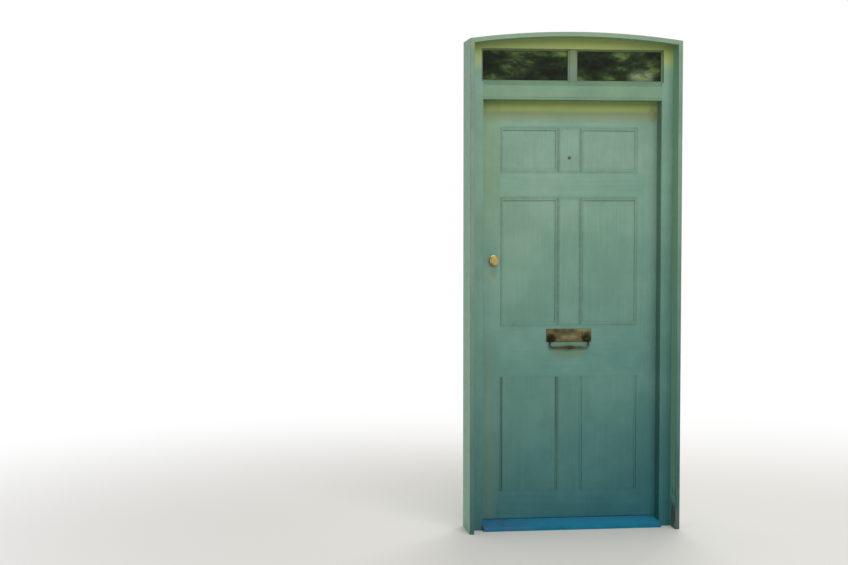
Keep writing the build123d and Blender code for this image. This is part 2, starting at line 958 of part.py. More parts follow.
# Keep on the jamb: a box that the bolt enters, with a fixing plate beside it
with BuildPart() as latch_keep:
    block((keep_box_edge, keep_edge), (leaf_back, leaf_back + case_depth), keep_z)
    fillet(latch_keep.edges().filter_by(Axis.Z).group_by(Axis.Y)[-1], arris)
    block(
        (keep_box_edge - keep_plate_width, keep_box_edge),
        (leaf_back, leaf_back + keep_wall),
        keep_z,
    )
    block(
        (keep_box_edge + keep_wall, keep_edge),
        (bolt_y[0] - bolt_play, bolt_y[1] + bolt_play),
        (bolt_z[0] - bolt_play, bolt_z[1] + bolt_play),
        Mode.SUBTRACT,
    )
    screws(keep_screw_places, TO_HOUSE, Mode.SUBTRACT, screw_play)
latch_keep.part.label = "latch_keep"

# Latch case on the inside of the lock stile
with BuildPart() as latch_case:
    block(case_x, (leaf_back, case_face), (latch_z - case_height / 2, latch_z + case_height / 2))
    outer_edges = latch_case.edges().group_by(Axis.Y)[-1]
    fillet(outer_edges, case_round)
    block(
        (case_x[0], bolt_x[1] + bolt_play),
        (bolt_y[0] - body_play, bolt_y[1] + body_play),
        (bolt_z[0] - body_play, bolt_z[1] + body_play),
        Mode.SUBTRACT,
    )
    rod(
        (latch_x, leaf_back, latch_z),
        TO_HOUSE,
        spindle_radius + turning_play,
        case_depth,
        Mode.SUBTRACT,
    )
    block(
        (snib_x[0] - snib_travel - body_play, snib_x[1] + body_play),
        (snib_floor, case_face),
        (snib_z[0] - body_play, snib_z[1] + body_play),
        Mode.SUBTRACT,
    )
    for place in latch_screw_places:
        rod(
            (place[0], case_face, place[2]),
            TO_STREET,
            latch_screw_radius + screw_play,
            case_depth,
            Mode.SUBTRACT,
        )
latch_case.part.label = "latch_case"

with BuildPart() as latch_screws:
    for place in latch_screw_places:
        rod(
            (place[0], case_face, place[2]),
            TO_STREET,
            latch_screw_radius,
            case_depth + latch_screw_length,
        )
        rod((place[0], case_face, place[2]), TO_HOUSE, latch_screw_head, latch_screw_head_height)
latch_screws.part.label = "latch_screws"

# Latch bolt, bevelled on the side that meets the keep as the leaf closes
with BuildPart() as latch_bolt:
    block(bolt_x, bolt_y, bolt_z)
    nose = latch_bolt.edges().filter_by(Axis.Z).group_by(Axis.X)[0].sort_by(Axis.Y)[0]
    chamfer(nose, bolt_bevel)
latch_bolt.part.label = "latch_bolt"

# Turn knob inside, on a spindle slotted for the tail bar
with BuildPart() as latch_knob:
    with BuildSketch(Plane.XY.offset(latch_z)):
        with BuildLine():
            Polyline(
                (latch_x, spindle_end),
                (latch_x + spindle_radius, spindle_end),
                (latch_x + spindle_radius, case_face + body_play),
                (latch_x + knob_neck_radius, case_face + body_play),
                (latch_x + knob_neck_radius, case_face + knob_neck_depth),
            )
            ThreePointArc(
                (latch_x + knob_neck_radius, case_face + knob_neck_depth),
                (latch_x + knob_radius, case_face + knob_belly_depth),
                (latch_x + knob_neck_radius, case_face + knob_depth),
            )
            Polyline(
                (latch_x + knob_neck_radius, case_face + knob_depth),
                (latch_x, case_face + knob_depth),
                (latch_x, spindle_end),
            )
        make_face()
    revolve(axis=Axis((latch_x, 0, latch_z), TO_HOUSE))
    block(
        (latch_x - tail_width / 2 - body_play, latch_x + tail_width / 2 + body_play),
        (spindle_end, tail_end + body_play),
        (latch_z - tail_thickness / 2 - body_play, latch_z + tail_thickness / 2 + body_play),
        Mode.SUBTRACT,
    )
latch_knob.part.label = "latch_knob"

# Snib, which slides in its slot and holds the bolt back
with BuildPart() as latch_snib:
    block(snib_x, (snib_floor + body_play, case_face + snib_button_depth), snib_z)
    fillet(latch_snib.edges().group_by(Axis.Y)[-1], arris / 2)
latch_snib.part.label = "latch_snib"

# Rim cylinder with its turned ring outside
with BuildPart() as cylinder_body:
    rod((latch_x, cylinder_face, latch_z), TO_HOUSE, cylinder_radius, cylinder_length)
    rod(
        (latch_x, cylinder_face, latch_z),
        TO_HOUSE,
        plug_radius + turning_play,
        cylinder_length,
        Mode.SUBTRACT,
    )
    fillet(cylinder_body.edges().group_by(Axis.Y)[0].sort_by(SortBy.RADIUS)[-1], arris)
cylinder_body.part.label = "cylinder_body"

with BuildPart() as cylinder_plug:
    rod((latch_x, cylinder_face, latch_z), TO_HOUSE, plug_radius, cylinder_length)
    block(
        (latch_x - key_slot_height / 2, latch_x + key_slot_height / 2),
        (cylinder_face, cylinder_face + key_slot_depth),
        (latch_z - key_slot_width / 2, latch_z + key_slot_width / 2),
        Mode.SUBTRACT,
    )
    block(
        (latch_x - tail_width / 2, latch_x + tail_width / 2),
        (cylinder_face + cylinder_length, tail_end),
        (latch_z - tail_thickness / 2, latch_z + tail_thickness / 2),
    )
cylinder_plug.part.label = "cylinder_plug"

with BuildPart() as cylinder_ring:
    with BuildSketch(Plane.XY.offset(latch_z)):
        bore = latch_x + cylinder_radius + screw_play
        with BuildLine():
            Polyline(
                (latch_x + ring_radius, leaf_front),
                (bore, leaf_front),
                (bore, leaf_front - ring_depth),
                (latch_x + ring_lip_radius, leaf_front - ring_depth),
            )
            ThreePointArc(
                (latch_x + ring_lip_radius, leaf_front - ring_depth),
                (latch_x + ring_waist_radius, leaf_front - ring_waist_depth),
                (latch_x + ring_radius, leaf_front - ring_foot),
            )
            Line((latch_x + ring_radius, leaf_front - ring_foot), (latch_x + ring_radius, leaf_front))
        make_face()
    revolve(axis=Axis((latch_x, 0, latch_z), TO_HOUSE))
cylinder_ring.part.label = "cylinder_ring"


def flap_pin_lugs(face, radius, reach):
    """Two ears that hold a flap's pin behind a plate."""
    for side in (-1, 1):
        near_x = side * (reach + flap_play)
        far_x = side * (reach + flap_play + lug_width)
        block(
            (min(near_x, far_x), max(near_x, far_x)),
            (face, face + flap_play + 2 * radius),
            (flap_z[1] - radius, flap_z[1] + radius),
        )
    rod(
        (-reach - flap_play - lug_width, face + flap_play + radius, flap_z[1]),
        TO_RIGHT,
        flap_pin_radius + turning_play,
        2 * (reach + flap_play + lug_width),
        Mode.SUBTRACT,
    )


def hung_flap(face, thickness, radius, reach):
    """A flap that hangs from a knuckle along its top edge, just behind a plate."""
    front = face + flap_play
    block((-reach, reach), (front, front + thickness), (flap_z[0], flap_z[1]))
    rod((-reach, front + radius, flap_z[1]), TO_RIGHT, radius, 2 * reach)
    rod(
        (-reach, front + radius, flap_z[1]),
        TO_RIGHT,
        flap_pin_radius + turning_play,
        2 * reach,
        Mode.SUBTRACT,
    )


def plate_outline(y, depth):
    """The letter plate's outline, with rounded corners."""
    with BuildSketch(street_plane(y)) as outline:
        with Locations((0, letter_z)):
            RectangleRounded(plate_width, plate_height, plate_corner)
    extrude(outline.sketch, amount=-depth)


# Letter plate with pin ears behind and pivot bosses in front
with BuildPart() as letter_plate:
    plate_outline(plate_face, plate_thickness)
    chamfer(letter_plate.edges().group_by(Axis.Y)[0], arris)
    block((-slot_x, slot_x), (plate_face, leaf_front), slot_z, Mode.SUBTRACT)
    for side in (-1, 1):
        with Locations((side * boss_spread, (knocker_y + plate_face) / 2, knocker_z)):
            Box(boss_width, plate_face - knocker_y, 2 * boss_radius)
        rod(
            (side * boss_spread - boss_width / 2, knocker_y, knocker_z),
            TO_RIGHT,
            boss_radius,
            boss_width,
        )
        rod(
            (side * boss_spread - boss_width / 2, knocker_y, knocker_z),
            TO_RIGHT,
            knocker_stub_radius + turning_play,
            boss_width,
            Mode.SUBTRACT,
        )
        rod(
            (side * letter_bolt_spread, leaf_front, letter_z),
            TO_STREET,
            letter_bolt_radius + screw_play,
            plate_thickness / 2,
            Mode.SUBTRACT,
        )
    flap_pin_lugs(leaf_front, flap_knuckle_radius, flap_x)
letter_plate.part.label = "letter_plate"

with BuildPart() as letter_flap:
    hung_flap(leaf_front, flap_thickness, flap_knuckle_radius, flap_x)
letter_flap.part.label = "letter_flap"

# Inner frame of the letter slot, with its own hung flap
with BuildPart() as inner_letter_frame:
    plate_outline(leaf_back, inner_plate_thickness)
    block((-slot_x, slot_x), (leaf_back, inner_plate_face), slot_z, Mode.SUBTRACT)
    for side in (-1, 1):
        rod(
            (side * letter_bolt_spread, leaf_back, letter_z),
            TO_HOUSE,
            letter_bolt_radius + screw_play,
            inner_plate_thickness,
            Mode.SUBTRACT,
        )
    flap_pin_lugs(inner_plate_face, inner_knuckle_radius, flap_x)
inner_letter_frame.part.label = "inner_letter_frame"

with BuildPart() as inner_flap:
    hung_flap(inner_plate_face, inner_flap_thickness, inner_knuckle_radius, flap_x)
inner_flap.part.label = "inner_flap"

with BuildPart() as flap_pins:
    for face, radius in (
        (leaf_front, flap_knuckle_radius),
        (inner_plate_face, inner_knuckle_radius),
    ):
        rod(
            (-flap_x - flap_play - lug_width, face + flap_play + radius, flap_z[1]),
            TO_RIGHT,
            flap_pin_radius,
            2 * (flap_x + flap_play + lug_width),
        )
flap_pins.part.label = "flap_pins"

# Bolts from the letter plate through the leaf, with their nuts inside
with BuildPart() as letter_plate_bolts:
    for side in (-1, 1):
        rod(
            (side * letter_bolt_spread, plate_face + plate_thickness / 2, letter_z),
            TO_HOUSE,
            letter_bolt_radius,
            plate_thickness / 2 + leaf_thickness + inner_plate_thickness + letter_nut_height,
        )
        rod(
            (side * letter_bolt_spread, inner_plate_face, letter_z),
            TO_HOUSE,
            letter_nut_radius,
            letter_nut_height,
        )
letter_plate_bolts.part.label = "letter_plate_bolts"

# Drop knocker: a bail with a thick grip, which hangs from the bosses
with BuildLine() as bail:
    FilletPolyline(
        (boss_outer_x, knocker_y, knocker_z),
        (knocker_spread, knocker_y, knocker_z),
        (knocker_spread, knocker_y, knocker_low_z),
        (-knocker_spread, knocker_y, knocker_low_z),
        (-knocker_spread, knocker_y, knocker_z),
        (-boss_outer_x, knocker_y, knocker_z),
        radius=[knocker_top_bend, knocker_low_bend, knocker_low_bend, knocker_top_bend],
    )

with BuildPart() as knocker:
    with BuildSketch(Plane(origin=(boss_outer_x, knocker_y, knocker_z), z_dir=TO_RIGHT)):
        Circle(knocker_radius)
    sweep(path=bail.line)
    with BuildSketch(street_plane(knocker_y)):
        with BuildLine():
            Line((-grip_length / 2, knocker_low_z), (grip_length / 2, knocker_low_z))
            ThreePointArc(
                (grip_length / 2, knocker_low_z),
                (0, knocker_low_z + grip_radius),
                (-grip_length / 2, knocker_low_z),
            )
        make_face()
    revolve(axis=Axis((0, knocker_y, knocker_low_z), TO_RIGHT))
    for side in (-1, 1):
        rod(
            (side * boss_outer_x, knocker_y, knocker_z),
            (-side, 0, 0),
            knocker_stub_radius,
            boss_width + flap_play,
        )
        rod(
            (side * knocker_spread, knocker_y, striker_z),
            TO_HOUSE,
            striker_radius,
            plate_face - body_play - knocker_y,
        )
knocker.part.label = "knocker"

# Door viewer: barrel, lens and the inner sleeve with its rivet
with BuildPart() as viewer_barrel:
    rod((0, leaf_front, viewer_z), TO_HOUSE, viewer_radius, viewer_barrel_length)
    rod((0, leaf_front, viewer_z), TO_STREET, viewer_flange_radius, viewer_flange)
    fillet(viewer_barrel.edges().group_by(Axis.Y)[0], viewer_flange / 2)
    rod(
        (0, leaf_front - viewer_flange, viewer_z),
        TO_HOUSE,
        viewer_bore,
        viewer_flange + viewer_barrel_length,
        Mode.SUBTRACT,
    )
viewer_barrel.part.label = "viewer_barrel"

with BuildPart() as viewer_lens:
    rod(
        (0, leaf_front - viewer_flange / 2, viewer_z),
        TO_HOUSE,
        viewer_bore - screw_play,
        viewer_lens_length,
    )
viewer_lens.part.label = "viewer_lens"

with BuildPart() as viewer_sleeve:
    rod(
        (0, leaf_back, viewer_z),
        TO_STREET,
        viewer_bore - screw_play,
        viewer_sleeve_length,
    )
    rod((0, leaf_back, viewer_z), TO_HOUSE, sleeve_flange_radius, viewer_flange)
    rod(
        (0, leaf_back - viewer_sleeve_length, viewer_z),
        TO_HOUSE,
        viewer_eye_radius,
        viewer_sleeve_length + viewer_flange,
        Mode.SUBTRACT,
    )
    rod(
        (0, leaf_back + viewer_flange, cover_pivot_z),
        TO_HOUSE,
        rivet_radius,
        cover_thickness + 2 * body_play,
    )
    rod(
        (0, leaf_back + viewer_flange + cover_thickness + 2 * body_play, cover_pivot_z),
        TO_HOUSE,
        rivet_head_radius,
        body_play,
    )
viewer_sleeve.part.label = "viewer_sleeve"

# Cover that hangs over the viewer from its rivet
with BuildPart() as viewer_cover:
    cover_plane = street_plane(leaf_back + viewer_flange + body_play)
    with BuildSketch(cover_plane):
        with Locations((0, viewer_z)):
            Circle(cover_radius)
        with Locations((0, (viewer_z + cover_pivot_z) / 2)):
            Rectangle(2 * rivet_head_radius, cover_pivot_rise)
        with Locations((0, cover_pivot_z)):
            Circle(rivet_head_radius)
        with Locations((0, cover_pivot_z)):
            Circle(rivet_radius + turning_play, mode=Mode.SUBTRACT)
    extrude(amount=-cover_thickness)
viewer_cover.part.label = "viewer_cover"

pieces = [
    piece.part
    for piece in (
        sill,
        water_bar,
        jamb_left,
        jamb_right,
        transom,
        head,
        glazing_bar,
        fanlight_glass_left,
        fanlight_glass_right,
        fanlight_beads,
        lining_left,
        lining_right,
        lining_arch,
        hinge_pins,
        frame_screws,
        latch_keep,
        lock_stile,
        hinge_stile,
        top_rail,
        frieze_rail,
        lock_rail,
        bottom_rail,
        muntin_top,
        muntin_middle,
        muntin_lower,
        door_screws,
        latch_case,
        latch_screws,
        latch_bolt,
        latch_knob,
        latch_snib,
        cylinder_body,
        cylinder_plug,
        cylinder_ring,
        letter_plate,
        letter_flap,
        inner_letter_frame,
        inner_flap,
        flap_pins,
        letter_plate_bolts,
        knocker,
        viewer_barrel,
        viewer_lens,
        viewer_sleeve,
        viewer_cover,
    )
]
pieces += pieces_of_panels + pieces_of_mouldings + pieces_of_hinges

os.makedirs("parts", exist_ok=True)
for piece in pieces:
    export_step(piece, f"parts/{piece.label}.step")
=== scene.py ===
# %% [markdown]
# # A panelled front door in its arched frame
# The real object is a softwood front door that has stood in its frame for many years: six panels,
# a glazed fanlight over a transom, a weathered sill, a brass cylinder and a brass letter plate
# with a drop knocker. Its solids arrive ready made, so this lesson gives them their finishes,
# some small fittings, light and a camera. They could all be painted by hand in an image, but
# node materials follow the solids at every size, and that is why they are used here.

import json
import math
import random

import bmesh
import bpy
from mathutils import Matrix, Vector

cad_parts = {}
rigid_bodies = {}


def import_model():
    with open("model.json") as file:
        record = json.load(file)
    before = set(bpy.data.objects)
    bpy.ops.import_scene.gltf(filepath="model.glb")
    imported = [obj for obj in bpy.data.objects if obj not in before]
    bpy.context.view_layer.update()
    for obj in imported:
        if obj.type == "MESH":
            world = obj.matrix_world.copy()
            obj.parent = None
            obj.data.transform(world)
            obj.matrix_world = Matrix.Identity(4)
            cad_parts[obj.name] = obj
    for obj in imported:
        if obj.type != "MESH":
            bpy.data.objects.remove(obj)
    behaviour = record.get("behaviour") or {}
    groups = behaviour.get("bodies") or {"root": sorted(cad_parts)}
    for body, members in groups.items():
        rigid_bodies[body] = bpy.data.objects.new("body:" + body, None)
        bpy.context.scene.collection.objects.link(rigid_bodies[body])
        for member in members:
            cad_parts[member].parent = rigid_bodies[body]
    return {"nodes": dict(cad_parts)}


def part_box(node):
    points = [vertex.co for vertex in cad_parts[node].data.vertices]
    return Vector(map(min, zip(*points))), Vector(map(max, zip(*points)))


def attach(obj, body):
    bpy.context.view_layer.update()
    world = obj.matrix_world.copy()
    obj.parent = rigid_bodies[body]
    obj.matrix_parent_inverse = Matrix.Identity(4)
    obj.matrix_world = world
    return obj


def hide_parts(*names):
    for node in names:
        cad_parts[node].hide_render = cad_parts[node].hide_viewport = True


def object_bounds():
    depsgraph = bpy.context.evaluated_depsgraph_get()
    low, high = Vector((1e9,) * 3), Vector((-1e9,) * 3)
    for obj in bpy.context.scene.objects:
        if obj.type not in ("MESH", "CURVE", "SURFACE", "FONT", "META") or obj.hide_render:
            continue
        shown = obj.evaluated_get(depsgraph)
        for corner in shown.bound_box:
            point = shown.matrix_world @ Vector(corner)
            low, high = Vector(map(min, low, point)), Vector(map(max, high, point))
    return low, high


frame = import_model()
nodes = frame["nodes"]
cad_box = [list(corner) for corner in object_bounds()]
print("nodes:", len(nodes), "box:", cad_box)

# %% [markdown]
# Every finish below starts from a colour that a paint card would give as six digits. Blender
# mixes light in linear numbers, so one function turns the digits into those. A second one adds
# a node, sets its options and fills or links its sockets. The links could be written out one by
# one, but a material is easier to read when each of its steps takes one line.

# %% Colour and node helpers
MIX_A, MIX_B, MIX_RESULT = 6, 7, 2
# The sRGB curve is straight up to its knee, and a power above it
SRGB_KNEE, SRGB_SLOPE, SRGB_LIFT, SRGB_POWER = 0.04045, 12.92, 0.055, 2.4
FULL_BYTE = 255


def linear_part(part):
    """One part of a screen colour, from 0 to 1, as linear light."""
    if part <= SRGB_KNEE:
        return part / SRGB_SLOPE
    return ((part + SRGB_LIFT) / (1 + SRGB_LIFT)) ** SRGB_POWER


def linear(hex_code):
    """A colour written as #RRGGBB, as linear red, green, blue and a full alpha."""
    parts = [int(hex_code[start:start + 2], 16) / FULL_BYTE for start in (1, 3, 5)]
    return [linear_part(part) for part in parts] + [1.0]


def add_node(tree, kind, settings=None, sockets=None):
    """A new node with its options set, and its sockets filled with a value or a link."""
    node = tree.nodes.new("ShaderNode" + kind)
    for option, value in (settings or {}).items():
        setattr(node, option, value)
    for socket, value in (sockets or {}).items():
        if isinstance(value, bpy.types.NodeSocket):
            tree.links.new(value, node.inputs[socket])
        else:
            node.inputs[socket].default_value = value
    return node


def maths(tree, operation, *values):
    """The result of one sum on numbers or links."""
    return add_node(tree, "Math", {"operation": operation}, dict(enumerate(values))).outputs[0]


def product(tree, first, *others):
    """All the values multiplied."""
    for other in others:
        first = maths(tree, "MULTIPLY", first, other)
    return first


def fade(tree, value, start, end, low=0.0, high=1.0):
    """A smooth change from low to high as a value goes from start to end."""
    return add_node(
        tree,
        "MapRange",
        {"interpolation_type": "SMOOTHSTEP"},
        {"Value": value, "From Min": start, "From Max": end, "To Min": low, "To Max": high},
    ).outputs["Result"]


def mix(tree, share, first, second, blend="MIX"):
    """Two colours, each a link or #RRGGBB, with a share of the second in the first."""
    pair = [linear(colour) if isinstance(colour, str) else colour for colour in (first, second)]
    return add_node(
        tree, "Mix", {"data_type": "RGBA", "blend_type": blend},
        {0: share, MIX_A: pair[0], MIX_B: pair[1]},
    ).outputs[MIX_RESULT]


def tone_ramp(tree, value, stops):
    """A colour that runs through (position, #RRGGBB) stops as a value goes from 0 to 1."""
    node = add_node(tree, "ValToRGB", None, {0: value})
    elements = node.color_ramp.elements
    # New stops start in the middle and then take their own places
    while len(elements) < len(stops):
        elements.new(0.5)
    for element, (position, tone) in zip(elements, stops):
        element.position = position
        element.color = linear(tone)
    return node.outputs["Color"]


print("sage in linear light:", [round(part, 3) for part in linear("#6D8F7B")])

# %% [markdown]
# The finishes share four more moves. A cloud pattern takes its real size in millimetres, because
# its Scale counts repeats in a metre. Timber stretches such a pattern along its grain. An oval
# gives stains, worn places, painted shade and painted highlights a soft edge. And a finish is
# closed by its colour, its roughness and one or two layers of relief: bump is enough for these, as
# none of them shows in an outline.

# %% Pattern and surface helpers
MM_IN_A_METRE = 1000
ALONG_GRAIN = 0.03


def new_finish(name, **surface_values):
    """An empty material: its node tree, its surface shader and its place on the object."""
    material = bpy.data.materials.new(name)
    material.use_nodes = True
    tree = material.node_tree
    surface = tree.nodes["Principled BSDF"]
    for socket, value in surface_values.items():
        surface.inputs[socket.replace("_", " ")].default_value = value
    place = add_node(tree, "TexCoord").outputs["Object"]
    return material, tree, surface, place


def axes_of(tree, place):
    """X, Y and Z of a place."""
    return add_node(tree, "SeparateXYZ", None, {0: place}).outputs


def noise(tree, place, size_mm, detail=2.0, roughness=0.5):
    """Clouds of a real size, as a value from 0 to 1."""
    repeats = MM_IN_A_METRE / size_mm
    return add_node(
        tree, "TexNoise", None,
        {"Vector": place, "Scale": repeats, "Detail": detail, "Roughness": roughness},
    ).outputs["Fac"]


def stretched(tree, place, scale, turn=(0, 0, 0)):
    """A place with its axes scaled: a scale under 1 draws a pattern out along that axis."""
    return add_node(
        tree, "Mapping", None, {"Vector": place, "Rotation": turn, "Scale": scale}
    ).outputs[0]


def along_grain(tree, place, grain):
    """A place whose patterns are drawn out along X or along Z."""
    return stretched(tree, place, (ALONG_GRAIN, 1, 1) if grain == "X" else (1, 1, ALONG_GRAIN))


def oval(tree, place, centre, half_size):
    """0 in the middle of an upright oval and 1 at its rim."""
    offset = add_node(
        tree, "VectorMath", {"operation": "SUBTRACT"}, {0: place, 1: (centre[0], 0, centre[1])}
    ).outputs[0]
    share = add_node(
        tree, "VectorMath", {"operation": "MULTIPLY"},
        {0: offset, 1: (1 / half_size[0], 0, 1 / half_size[1])},
    ).outputs[0]
    return add_node(tree, "VectorMath", {"operation": "LENGTH"}, {0: share}).outputs["Value"]


def emboss(tree, surface, *layers):
    """Relief from (pattern, strength, depth in metres) layers, each over the one before."""
    normal = None
    for height, strength, depth in layers:
        sockets = {"Strength": strength, "Distance": depth, "Height": height}
        if normal is not None:
            sockets["Normal"] = normal
        normal = add_node(tree, "Bump", None, sockets).outputs["Normal"]
    tree.links.new(normal, surface.inputs["Normal"])


def close_finish(tree, surface, colour, roughness, *layers):
    """Link a colour, a roughness and layers of relief to a surface."""
    tree.links.new(colour, surface.inputs["Base Color"])
    tree.links.new(roughness, surface.inputs["Roughness"])
    emboss(tree, surface, *layers)


print("grain is drawn out", round(1 / ALONG_GRAIN), "times")

# %% [markdown]
# Dirt and painted shade lie where two pieces meet, and weather reaches only what faces the street.
# The darkening could come from measured occlusion, but that would change as the leaf swings, so it
# follows the known lines of the panels instead. These places are measured from the solids.

# %% Places that dirt, painted shade and weather follow
# How far a panel's edge reaches into the groove of the stile
TONGUE = 0.009
STILE_X = -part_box("panel_top_left")[0][0] - TONGUE
MUNTIN_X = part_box("muntin_top")[1][0]
LEAF_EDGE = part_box("hinge_stile")[1][0]
LEAF_FACE, LEAF_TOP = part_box("hinge_stile")[0][1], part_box("hinge_stile")[1][2]
JAMB_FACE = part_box("jamb_right")[0][1]
LINING_FACE, LINING_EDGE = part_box("lining_right")[0][1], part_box("lining_right")[1][0]
FANLIGHT_SILL, FANLIGHT_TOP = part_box("transom")[1][2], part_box("head")[0][2]
PANEL_LEVELS = []
for rail in ("top_rail", "frieze_rail", "lock_rail", "bottom_rail"):
    low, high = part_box(rail)
    PANEL_LEVELS += [low[2], high[2]]
PANEL_LEVELS = sorted(PANEL_LEVELS)[1:-1]
LOWER_TOP = PANEL_LEVELS[1]
# The lowest panels are flush, so dirt and painted shade lie only along the levels above them
SHADED_DIRTY_LEVELS = PANEL_LEVELS[2:]
# Weather stops within the thickness of the leaf, because the side to the house is sheltered
OUTDOORS, INDOORS = LEAF_FACE + 0.01, LEAF_FACE + 0.015
MARK_START, MARK_FULL = LEAF_FACE + 0.01, LEAF_FACE + 0.005
# An oval mark is whole within this share of its half size
MARK_CORE = 0.45


def middle_of(node):
    """Place across and level of the middle of a node."""
    low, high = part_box(node)
    return (low[0] + high[0]) / 2, (low[2] + high[2]) / 2


def distance_to_lines(tree, coordinate, lines):
    """Distance in metres to the nearest of some lines."""
    nearest = None
    for line in lines:
        away = maths(tree, "ABSOLUTE", maths(tree, "SUBTRACT", coordinate, line))
        nearest = away if nearest is None else maths(tree, "MINIMUM", nearest, away)
    return nearest


def marked(tree, place, axes, colour, marks):
    """A colour with soft-edged ovals on the street side: centre, half size, share, colour."""
    for centre, half_size, most, mark_colour in marks:
        share = product(
            tree,
            fade(tree, oval(tree, place, centre, half_size), 1.0, MARK_CORE, 0.0, most),
            fade(tree, axes["Y"], MARK_START, MARK_FULL),
        )
        colour = mix(tree, share, colour, mark_colour)
    return colour


print("panel edges at", [round(level, 3) for level in PANEL_LEVELS])

# %% [markdown]
# The paint is an eggshell oil paint, brushed on along the grain and left out for years. Sun and
# rain have bleached it in patches a couple of hands across, and the long grain of the softwood
# shows through. Every painted timber has this coat, and only the way of its grain and its shade
# differ. A flat colour would look like a plastic door.

# %% Brushed coat on softwood
# Each pair of edges holds the noise values between which a pattern changes over
PATCH_MM, PATCH_EDGES = 260, (0.35, 0.65)
GRAIN_MM, GRAIN_EDGES = 9, (0.3, 0.7)
GRAIN_SHARE = 0.08
# Real brush ridges are under 1 mm apart; they are drawn coarser to show
RIDGE_MM = 3
GRAIN_STRENGTH, GRAIN_DEPTH = 0.5, 0.0006
RIDGE_STRENGTH, RIDGE_DEPTH = 0.35, 0.0003


def brushed_coat(tree, place, grain, shade, faded):
    """The colour of the coat, its bleached patches, its grain and its brush ridges."""
    along = along_grain(tree, place, grain)
    patches = noise(tree, place, PATCH_MM, detail=4.0, roughness=0.6)
    grain_lines = noise(tree, along, GRAIN_MM, detail=5.0, roughness=0.6)
    ridges = noise(tree, along, RIDGE_MM)
    colour = mix(tree, fade(tree, patches, *PATCH_EDGES), shade, faded)
    grain_tones = tone_ramp(
        tree, fade(tree, grain_lines, *GRAIN_EDGES), ((0.0, "#000000"), (1.0, "#FFFFFF"))
    )
    return mix(tree, GRAIN_SHARE, colour, grain_tones, "MULTIPLY"), patches, grain_lines, ridges


print("patches of", PATCH_MM, "mm, grain of", GRAIN_MM, "mm")

# %% [markdown]
# The foot of the door is painted darker and bluer: partly splashes on an older coat, partly
# painted shade. The change climbs from left to right, with a ragged edge that follows the bleached
# patches. Green growth tints what stays damp: the head of the leaf under the transom, where an
# olive band is also painted warm light reflected into the transom's shadow, and the fanlight's
# frame.

# %% Splashes with painted shade, and green growth
# Splashes and painted shade darken the foot between these heights
SPLASH_AND_SHADE_FOOT, SPLASH_AND_SHADE_TOP = 0.1, 1.7
SPLASH_AND_SHADE_TONES = ((0.0, "#44A2C4"), (0.5, "#C6E1EC"), (1.0, "#FFFFFF"))
SPLASH_AND_SHADE_SLOPE = -0.3
SPLASH_AND_SHADE_RAGGED = 0.2
GROWTH_EDGES = (0.25, 0.6)
GROWTH_THINNEST = 0.8


def splashed_and_shaded(tree, axes, height, patches, colour):
    """The colour turned darker and bluer to the foot, street side: splashes and painted shade."""
    ragged = maths(tree, "MULTIPLY_ADD", patches, SPLASH_AND_SHADE_RAGGED, height)
    clean = add_node(
        tree, "MapRange", None,
        {"Value": ragged, "From Min": SPLASH_AND_SHADE_FOOT, "From Max": SPLASH_AND_SHADE_TOP},
    ).outputs[0]
    clean = maths(tree, "MAXIMUM", clean, fade(tree, axes["Y"], OUTDOORS, INDOORS))
    return mix(tree, 1.0, colour, tone_ramp(tree, clean, SPLASH_AND_SHADE_TONES), "MULTIPLY")


def overgrown(tree, axes, outdoors, patches, colour, washes):
    """The colour under washes of green: lowest level, full level, colour, share."""
    for lowest, full, growth_colour, most in washes:
        growth = product(
            tree,
            fade(tree, axes["Z"], lowest, full),
            fade(tree, patches, *GROWTH_EDGES, most * GROWTH_THINNEST, most),
            outdoors,
        )
        colour = mix(tree, growth, colour, growth_colour)
    return colour


# Growth at the head of the leaf; the second band is also painted warm light in the transom's
# shadow
LEAF_GROWTH_AND_REFLECTED_LIGHT = (
    (LEAF_TOP - 0.13, LEAF_TOP - 0.06, "#6F7640", 0.75),
    (LEAF_TOP - 0.07, LEAF_TOP - 0.045, "#92A458", 1.0),
)
FRAME_ALGAE = ((FANLIGHT_SILL + 0.02, FANLIGHT_TOP - 0.01, "#9BAA5B", 0.95),)
BAR_ALGAE = ((FANLIGHT_SILL + 0.02, FANLIGHT_TOP - 0.01, "#69764B", 0.8),)
LINING_ALGAE = ((LEAF_TOP + 0.17, LEAF_TOP + 0.27, "#7C9474", 0.6),)
print("growth on the leaf starts at", round(LEAF_GROWTH_AND_REFLECTED_LIGHT[0][0], 3), "m")

# %% [markdown]
# Dirt and painted shade lie in the corners round the panels, broken up by specks so that they look
# settled and not drawn. Low down on the right there is hardly any: on the real door thick paint
# has filled the quirks there, and in the lower middle too. The quirks keep their depth here, and
# the paint in them is lightened instead, as painted light that lifts their shadow.

# %% Dirt and painted shade, and painted light in the quirks
SPECK_MM, SPECK_EDGES = 28, (0.25, 0.7)
SPECK_THINNEST = 0.6
# Distances from a line at which dirt and painted shade start and at which they are full
UPRIGHT_REACH, LEVEL_REACH = (0.014, 0.001), (0.014, 0.0005)
# Dirt and painted shade share one colour
DIRT_AND_SHADE_COLOUR = "#3A5545"
DIRT_AND_SHADE_LEFT, DIRT_AND_SHADE_RIGHT, DIRT_AND_SHADE_LEVEL, DIRT_AND_SHADE_LOW_RIGHT = 0.6, 0.35, 0.3, 0.05
# Places across between which dirt and painted shade thin, and between which the low right starts
THINNING, RIGHT_SIDE = (0.2, 0.3), (-0.04, 0.06)
# How far the paint in the lowest quirks is lightened: painted light against their shade
QUIRK_PAINTED_LIGHT = 2.3
QUIRK_DEPTH = (LEAF_FACE + 0.0004, LEAF_FACE + 0.002)
MIDDLE_SIDE, MIDDLE_LEVEL = (-0.1, -0.09), (LOWER_TOP - 0.2, LOWER_TOP - 0.3)


